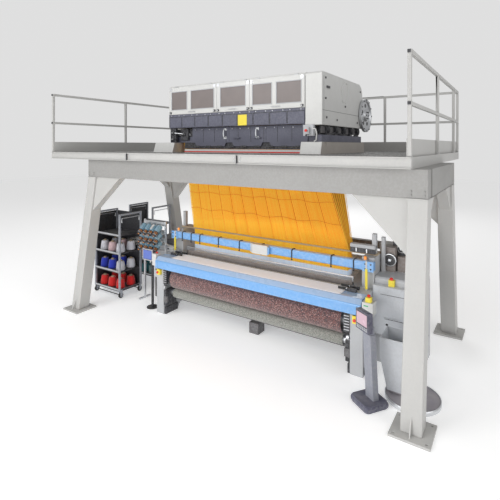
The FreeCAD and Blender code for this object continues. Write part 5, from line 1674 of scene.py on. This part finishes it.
@dataclass
class RapierDrives(SubAssembly):
    """Casings, tape wheels, guards and the open gearing on the right casing."""

    tape_pins: int = 40

    def build(self) -> None:
        """Make every piece beside the loom frame."""
        self.dress("drive_casings", (GREY, DARK_CABINET), "grey_paint", 0.008,
            pick=lambda spot: 1 if spot.x < 0 else 0)
        self.dress("rapier_guards", GREY_COVER, "white_paint", 0.007)
        for side in ("left", "right"):
            self.dress(f"rapier_wheel_{side}", ALUMINIUM, "bright_steel", 0.003)
            self.wheel_face(side)
        self.guard_details()
        self.gearing()
        self.cabinet_lines()

    def wheel_face(self, side: str) -> None:
        """Tape teeth round a rapier wheel."""
        room = Room.of(f"rapier_wheel_{side}")
        middle = Vector((room.middle.x, room.high.y - 0.029, room.middle.z))
        ways = [Vector((cos(a), 0, sin(a))) for a in turns(self.tape_pins)]
        studs(f"tape_pins_{side}", [(middle + way * (room.size.x / 2 - 0.004), way) for way in ways],
            STEEL, "bright_steel", f"rapier_wheel_{side}", radius=0.006, crown=0.003, height=0.008)

    def guard_details(self) -> None:
        """Grip slots, buttons and screws of the guards."""
        room, shape, long = Room.of("rapier_guards"), Shape(BLACK, GREY_COVER), 0.32
        for left in (room.low.x + 0.1, room.high.x - 0.42):
            shape.at(left, room.low.y, 0)
            shape.boxes(((0, -0.0015, 0.605), (long, 0.002, 0.615)),
                ((-0.05, -0.0015, 0.905), (long + 0.06, 0.002, 0.91)))
            for x, z in ((0.03, 0.54), (long + 0.01, 0.955)):
                shape.lathe(KNOB, (x, 0, z), -Y_DIR, 20)
            shape.tube([(0, 0.001, 0.62), (0, -0.016, 0.625), (long, -0.016, 0.625),
                (long, 0.001, 0.62)], 0.006, 8, 1)
        shape.piece("guard_grips", "dark_plastic", bevel=0.001)

    def gearing(self) -> None:
        """Dark shedding gear, motor and covers that stand on the right casing."""
        top = Room.of("drive_casings").high.z
        shape = Shape(BLACK, DARK_CABINET, STEEL, DUN, FRAME_PAINT).at(0, 0, top)
        shape.boxes(((2.6, -0.42, -0.002), (2.96, 0.0, 0.5)),
            ((2.52, -0.55, -0.002), (2.66, -0.35, 0.32), 3), ((2.68, -0.5, -0.002), (2.8, -0.42, 0.2),
            3), ((2.5, -0.62, -0.03), (2.545, -0.56, 0.46), 4))
        for x, y, z, r in ((2.6, -0.55, 0.16, 0.085), (2.72, -0.42, 0.3, 0.06),
                (2.86, -0.42, 0.18, 0.095), (2.9, -0.42, 0.36, 0.045)):
            shape.lathe([(0, 0.0), (0, r), (0.03, r), (0.034, r - 0.012), (0.034, 0.022), (0.052, 0.02),
                (0.054, 0.0)], (x, y, z), -Y_DIR, 32, [0, 0, 2, 0, 2, 2])
        shape.lathe([(0, 0.0), (0, 0.075), (0.22, 0.075), (0.24, 0.05), (0.24, 0.0)],
            (2.64, -0.18, 0.55), X_DIR, 28)
        for z in spread(0.06, 0.44, 8):
            shape.box((2.959, -0.36, z), (2.966, -0.06, z + 0.016))
        shape.piece("shedding_gear", "black_steel", bevel=0.004)
        toothed("shed_gear_teeth", [(2.975, -0.21, top + 0.2)], STEEL, MACHINE, "bright_steel", Count=36,
            Radius=0.085, Long=0.018, Wide=0.007, Tall=0.012)
        plate = Shape(STEEL)
        plate.lathe([(0, 0.0), (0, 0.08), (0.018, 0.08), (0.018, 0.03), (0.03, 0.028), (0.03, 0.0)],
            (2.966, -0.21, top + 0.2), X_DIR, 40)
        plate.piece("shed_gear", "bright_steel", bevel=0.001)

    def cabinet_lines(self) -> None:
        """Drawer lines, vents and handles on both casings."""
        room, shape = Room.of("drive_casings"), Shape(BLACK, GREY, STEEL)
        near, far = room.low.y, room.high.y
        for left, right in ((room.low.x + 0.03, -1.02), (2.51, room.high.x - 0.03)):
            shape.at(0, far, 0)
            for z in (0.3, 0.62, 0.86):
                shape.box((left, -0.002, z), (right, 0.0015, z + 0.005))
            for z in spread(0.1, 0.24, 7):
                shape.box((left + 0.06, -0.002, z), (right - 0.06, 0.003, z + 0.009))
            shape.tube(bow((left + right) / 2, 0.08, 0.028, 0.74), 0.007, 8, 2)
        for x, way, vent in ((room.low.x, -1, -0.0015), (room.high.x, 1, 0.0035)):
            shape.at(x, 0, 0)
            for z in (0.3, 0.78):
                shape.box((-way * 0.002, near + 0.03, z), (way * 0.0015, far - 0.1, z + 0.005))
            for z in spread(0.4, 0.68, 10):
                shape.box((-way * 0.002, near + 0.12, z), (vent, far - 0.18, z + 0.01))
        shape.piece("casing_lines", "dark_plastic", bevel=0.0)


# ---- weft supply and stands

RACK_LEVELS = {(-2.7, -1.3): (("red", "red", "red"), ("blue", "blue", "white"),
    ("white", "rose", "white")), (-2.86, -0.36): (("petrol", "petrol", "green"), ("gold", "red", "gold"),
    ("green", "red", "white"))}
LEVEL_PITCH = 0.33


@dataclass
class WeftSupply(SubAssembly):
    """Feeders on their stand, racks, packages and trolley wheels."""

    way: Vector = field(default_factory=lambda: Vector((0, -0.766, -0.643)))
    up: Vector = field(default_factory=lambda: Vector((0, -0.643, 0.766)))

    def build(self) -> None:
        """Make every piece of the weft supply."""
        self.dress("feeder_stand", ALUMINIUM, "aluminium", 0.002)
        for node, slot in (("creel_trolley", "black_steel"), ("creel_stand", "grey_paint")):
            self.dress(node, (RACK, BLACK), slot, 0.002,
                pick=lambda spot: 1 if abs((spot.z - 0.12) % 0.33 - 0.006) < 0.012 else 0)
        for side in ("near", "far"):
            self.dress(f"trolley_wheels_{side}", RUBBER, "rubber", 0.005)
        self.feeders()
        self.packages()
        self.racks()
        self.threads()

    def feeder_places(self) -> list[tuple[int, int, Vector]]:
        """Column, row and middle of the rear face of every feeder."""
        return [(column, row, Vector((-1.19 - column * 0.125, -1.05, 1.08 + row * 0.14))) for column in
            range(4) for row in range(3)]

    def feeders(self) -> None:
        """Drum feeders: motor housing, drum with amber rings, brake ring and label."""
        way, up = self.way, self.up
        along_way = Z_DIR.rotation_difference(way).to_matrix().to_4x4()
        label_turn = Matrix((X_DIR, up, way)).transposed().to_4x4()
        shape = Shape(TEAL, BLACK, AMBER, ALUMINIUM, WHITE, STEEL)
        for column, row, spot in self.feeder_places():
            shape.lathe([(-0.03, 0.0), (-0.03, 0.01), (0.0, 0.01), (0.004, 0.036), (0.016, 0.0455),
                (0.128, 0.0455), (0.136, 0.041), (0.138, 0.033), (0.192, 0.032), (0.194, 0.043),
                (0.2, 0.0435), (0.212, 0.036), (0.2245, 0.02), (0.2248, 0.0)], spot, way, 28,
                [3, 3, 0, 0, 0, 0, 1, 1, 1, 3, 1, 1, 1])
            for along in (0.15, 0.17):
                shape.lathe([(0, 0.0325), (0, 0.0345), (0.007, 0.0345), (0.007, 0.0325)],
                    spot + way * along, way, 24, 2)
            for a in turns(6):
                side = cos(a) * X_DIR + sin(a) * up
                shape.box((-0.004, -0.004, 0), (0.004, 0.004, 0.052), 1,
                    Matrix.Translation(spot + way * 0.139 + side * 0.0335) @ along_way)
            shape.box((-0.024, -0.004, 0.02), (0.024, 0.006, 0.12), 4 if (column + row) % 4 == 3 else 0,
                Matrix.Translation(spot + up * 0.043) @ label_turn)
            shape.lathe([(0, 0.014), (0.004, 0.014), (0.006, 0.006)], spot + way * 0.2215, way, 14, 2)
        shape.piece("drum_feeders", "teal_plastic", bevel=0.0, replaces=["weft_feeders"])

    def packages(self) -> None:
        """Cross-wound packages on tubes, each in its own colour."""
        colours, core = list(YARNS), len(YARNS)
        shape = Shape(*YARNS.values(), BOARD)
        for (x, y), levels in RACK_LEVELS.items():
            for level, names in enumerate(levels):
                for place, name in enumerate(names):
                    mark = colours.index(name)
                    for row in range(2):
                        base = (x + 0.13 + place * 0.225, y + 0.135 + row * 0.24,
                            0.1325 + level * LEVEL_PITCH)
                        shape.lathe([(0.0, 0.0), (0.0, 0.03), (0.004, 0.03), (0.006, 0.076),
                            (0.016, 0.083), (0.09, 0.076), (0.16, 0.064), (0.168, 0.058), (0.17, 0.028),
                            (0.188, 0.026), (0.188, 0.0)], base, Z_DIR, 28,
                            [core] * 2 + [mark] * 6 + [core] * 2)
        shape.piece("wound_packages", "yarn", bevel=0.0, replaces=["yarn_packages"])

    def racks(self) -> None:
        """Back panels, shelf lips and top rails of the racks."""
        shape = Shape(PANEL_BLACK, GREY, STEEL)
        for x, y in RACK_LEVELS:
            shape.at(x, y, 0)
            for top in (0.132 + level * LEVEL_PITCH for level in range(4)):
                for lip in (0.001, 0.515):
                    shape.box((0.03, lip, top), (0.69, lip + 0.004, top + 0.03), 1)
            for side in (0.008, 0.708):
                shape.tube([(side, 0.06, 1.36), (side, 0.06, 1.44), (side, 0.46, 1.44),
                    (side, 0.46, 1.36)], 0.008, 8, 2)
        shape.at(*HERE).boxes(((-2.668, -0.79, 0.135), (-2.012, -0.786, 1.48)),
            ((-2.699, -1.27, 0.135), (-2.695, -0.81, 1.48)),
            ((-2.859, -0.33, 0.135), (-2.855, 0.13, 1.48)))
        shape.piece("rack_panels", "black_steel", bevel=0.001)

    def threads(self) -> None:
        """Weft threads from the packages to the feeders and on to the weft presenter."""
        lines, end = [], Vector((-0.86, -0.93, 0.96))
        for column, row, spot in self.feeder_places():
            back, tip = spot - self.way * 0.031, spot + self.way * 0.2255
            start = Vector((-2.12, -1.0 + 0.05 * column, 0.98 + 0.02 * row))
            lines.append([start.lerp(back, t) - Vector((0, 0, 0.1 * sin(pi * t))) for t in spread(0, 1,
                9)])
            lines.append([tip.lerp(end, t) for t in spread(0, 1, 3)])
        strands("weft_threads", lines, WARP, "yarn", 0.0016)


@dataclass
class Stands(SubAssembly):
    """Waste box and tray, the terminal on its leaning arm and the touch panel."""

    terminal: Matrix = field(default_factory=lambda: Matrix.Translation((2.69, -1.76, 0.0)) @
        Matrix.Rotation(radians(-35), 4, "Z"))

    def build(self) -> None:
        """Make every piece of the stands."""
        self.dress("waste_box", GREY_COVER, "grey_paint", 0.0008)
        self.dress("waste_tray", (DOVE, ALUMINIUM), "grey_paint", 0.004,
            pick=lambda spot: 0 if spot.z > 0.038 else 1)
        self.dress("console_stand", (ARM, SCREEN_FRAME), "dark_paint", 0.006,
            pick=lambda spot: 1 if spot.z < 0.085 else 0)
        self.dress("console_head", SCREEN_FRAME, "dark_plastic", 0.012)
        self.dress("touch_post", BLACK, "black_steel", 0.003)
        self.dress("touch_head", SCREEN_FRAME, "dark_plastic", 0.006)
        self.tray_rim()
        self.screens()
        self.foot_cover()

    def tray_rim(self) -> None:
        """Rolled rim of the tray and rolled top edge of the waste box."""
        tray, box = Room.of("waste_tray"), Room.of("waste_box")
        shape = Shape(ALUMINIUM, GREY_COVER).at(tray.middle.x, tray.middle.y, 0.043)
        shape.tube([(0.284 * cos(a), 0.284 * sin(a), 0) for a in spread(0, tau, 49)], 0.0055)
        left, right, near, far = 0.002, box.size.x - 0.002, 0.002, box.size.y - 0.002
        shape.at(box.low.x, box.low.y, box.high.z - 0.003).tube([(left, near, 0), (right, near, 0),
            (right, far, 0), (left, far, 0), (left, near, 0)], 0.005, 8, 1)
        shape.piece("rolled_rims", "aluminium", bevel=0.0)

    def screens(self) -> None:
        """Glowing panes, keys and rims on both terminals; each tips with its head."""
        turn, console = self.terminal, Shape(SCREEN_ROSE, BLACK, GREY)
        console.box((-0.122, -0.0735, 0.845), (0.052, -0.069, 0.97), 0, turn)
        console.box((-0.128, -0.072, 0.838), (0.058, -0.0695, 0.977), 1, turn)
        for x in (-0.118 + i * 0.03 for i in range(6)):
            for low, high in ((0.797, 0.812), (0.818, 0.83)):
                console.box((x, -0.075, low), (x + 0.02, -0.069, high), 2, turn)
        console.piece("terminal_pane", "dark_plastic", "console_head", 0.001)
        head = Room.of("touch_head")
        long, _, tall = head.size
        touch = Shape(SCREEN_BLUE, ALUMINIUM).at(*head.low)
        touch.box((0.022, -0.004, 0.022), (long - 0.022, 0.001, tall - 0.022))
        touch.border((0, long, 0, tall), 0.012, (-0.003, 0.002), finish=1)
        touch.piece("touch_pane", "dark_plastic", "touch_head", 0.001)

    def foot_cover(self) -> None:
        """Dark rounded foot shell of the terminal arm."""
        shape = Shape(SCREEN_FRAME).box((-0.145, -0.145, 0.002), (0.145, 0.145, 0.066), 0, self.terminal)
        shape.piece("terminal_foot_shell", "dark_plastic", bevel=0.02)


SUB_ASSEMBLIES: tuple[type[SubAssembly], ...] = (Portal, Deck, JacquardHead, Harness, Loom, RapierDrives,
    WeftSupply, Stands)


# ---- studio

@dataclass(frozen=True)
class Studio:
    """Camera, lights and floor."""

    eye: Point = (4.017, -6.078, 2.767)
    heading: float = 33.7
    lens: float = 29.06
    shift: tuple[float, float] = (0.0024, -0.2083)
    floor: float = 60.0
    surround: float = 0.46
    backdrop: float = 0.74

    def build(self) -> None:
        """Set up the whole studio."""
        scene = bpy.context.scene
        lens = bpy.data.cameras.new("view")
        lens.lens = self.lens
        lens.sensor_width = 36.0
        lens.shift_x, lens.shift_y = self.shift
        lens.clip_end = 200.0
        camera = linked("view", lens)
        camera.location = self.eye
        camera.rotation_euler = (radians(90), 0.0, radians(self.heading))
        scene.camera = camera
        scene.view_settings.view_transform = "Standard"
        self.light("key", (-3.5, -9.5, 7.0), 6.0, 400.0)
        self.light("side", (9.5, -3.5, 4.5), 5.0, 170.0)
        self.light("rear", (-4.0, 9.0, 6.5), 7.0, 260.0)
        self.light("low_front", (1.2, -7.5, 1.4), 3.0, 150.0)
        self.sky()
        self.ground()

    def light(self, name: str, place: Point, size: float, power: float) -> None:
        """Add a soft square light that looks at the middle of the loom."""
        made = bpy.data.lights.new(name, "AREA")
        made.size = size
        made.energy = power
        item = linked(name, made)
        item.location = place
        item.rotation_euler = (Vector((0, 0, 1.4)) - Vector(place)).to_track_quat("-Z", "Y").to_euler()

    def sky(self) -> None:
        """Pale even surround."""
        world = bpy.data.worlds.new("surround")
        bpy.context.scene.world = world
        world.use_nodes = True
        tree = world.node_tree
        shade = tree.nodes["Background"]
        shade.inputs["Color"].default_value = (1.0, 1.0, 1.0, 1.0)
        path = tree.nodes.new("ShaderNodeLightPath")
        strength = tree.nodes.new("ShaderNodeMapRange")
        strength.inputs["To Min"].default_value = self.surround
        strength.inputs["To Max"].default_value = self.backdrop
        tree.links.new(path.outputs["Is Camera Ray"], strength.inputs["Value"])
        tree.links.new(strength.outputs["Result"], shade.inputs["Strength"])

    def ground(self) -> None:
        """Plain pale floor."""
        half = self.floor / 2
        mesh = bpy.data.meshes.new("floor")
        mesh.from_pydata([(-half, -half, 0), (half, -half, 0), (half, half, 0), (-half, half, 0)], [],
            [(0, 1, 2, 3)])
        finish = bpy.data.materials.new("floor")
        finish.use_nodes = True
        shader = finish.node_tree.nodes["Principled BSDF"]
        shader.inputs["Base Color"].default_value = (0.92, 0.92, 0.92, 1.0)
        shader.inputs["Roughness"].default_value = 0.85
        shader.inputs["Emission Color"].default_value = (1.0, 1.0, 1.0, 1.0)
        shader.inputs["Emission Strength"].default_value = 0.3
        mesh.materials.append(finish)
        linked("floor", mesh)


def main() -> None:
    """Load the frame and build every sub-assembly in order."""
    logging.basicConfig(level=logging.INFO, format="%(name)s %(message)s")
    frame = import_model()
    Studio().build()
    for part in SUB_ASSEMBLIES:
        part(frame).build()


if __name__ == "__main__":
    main()
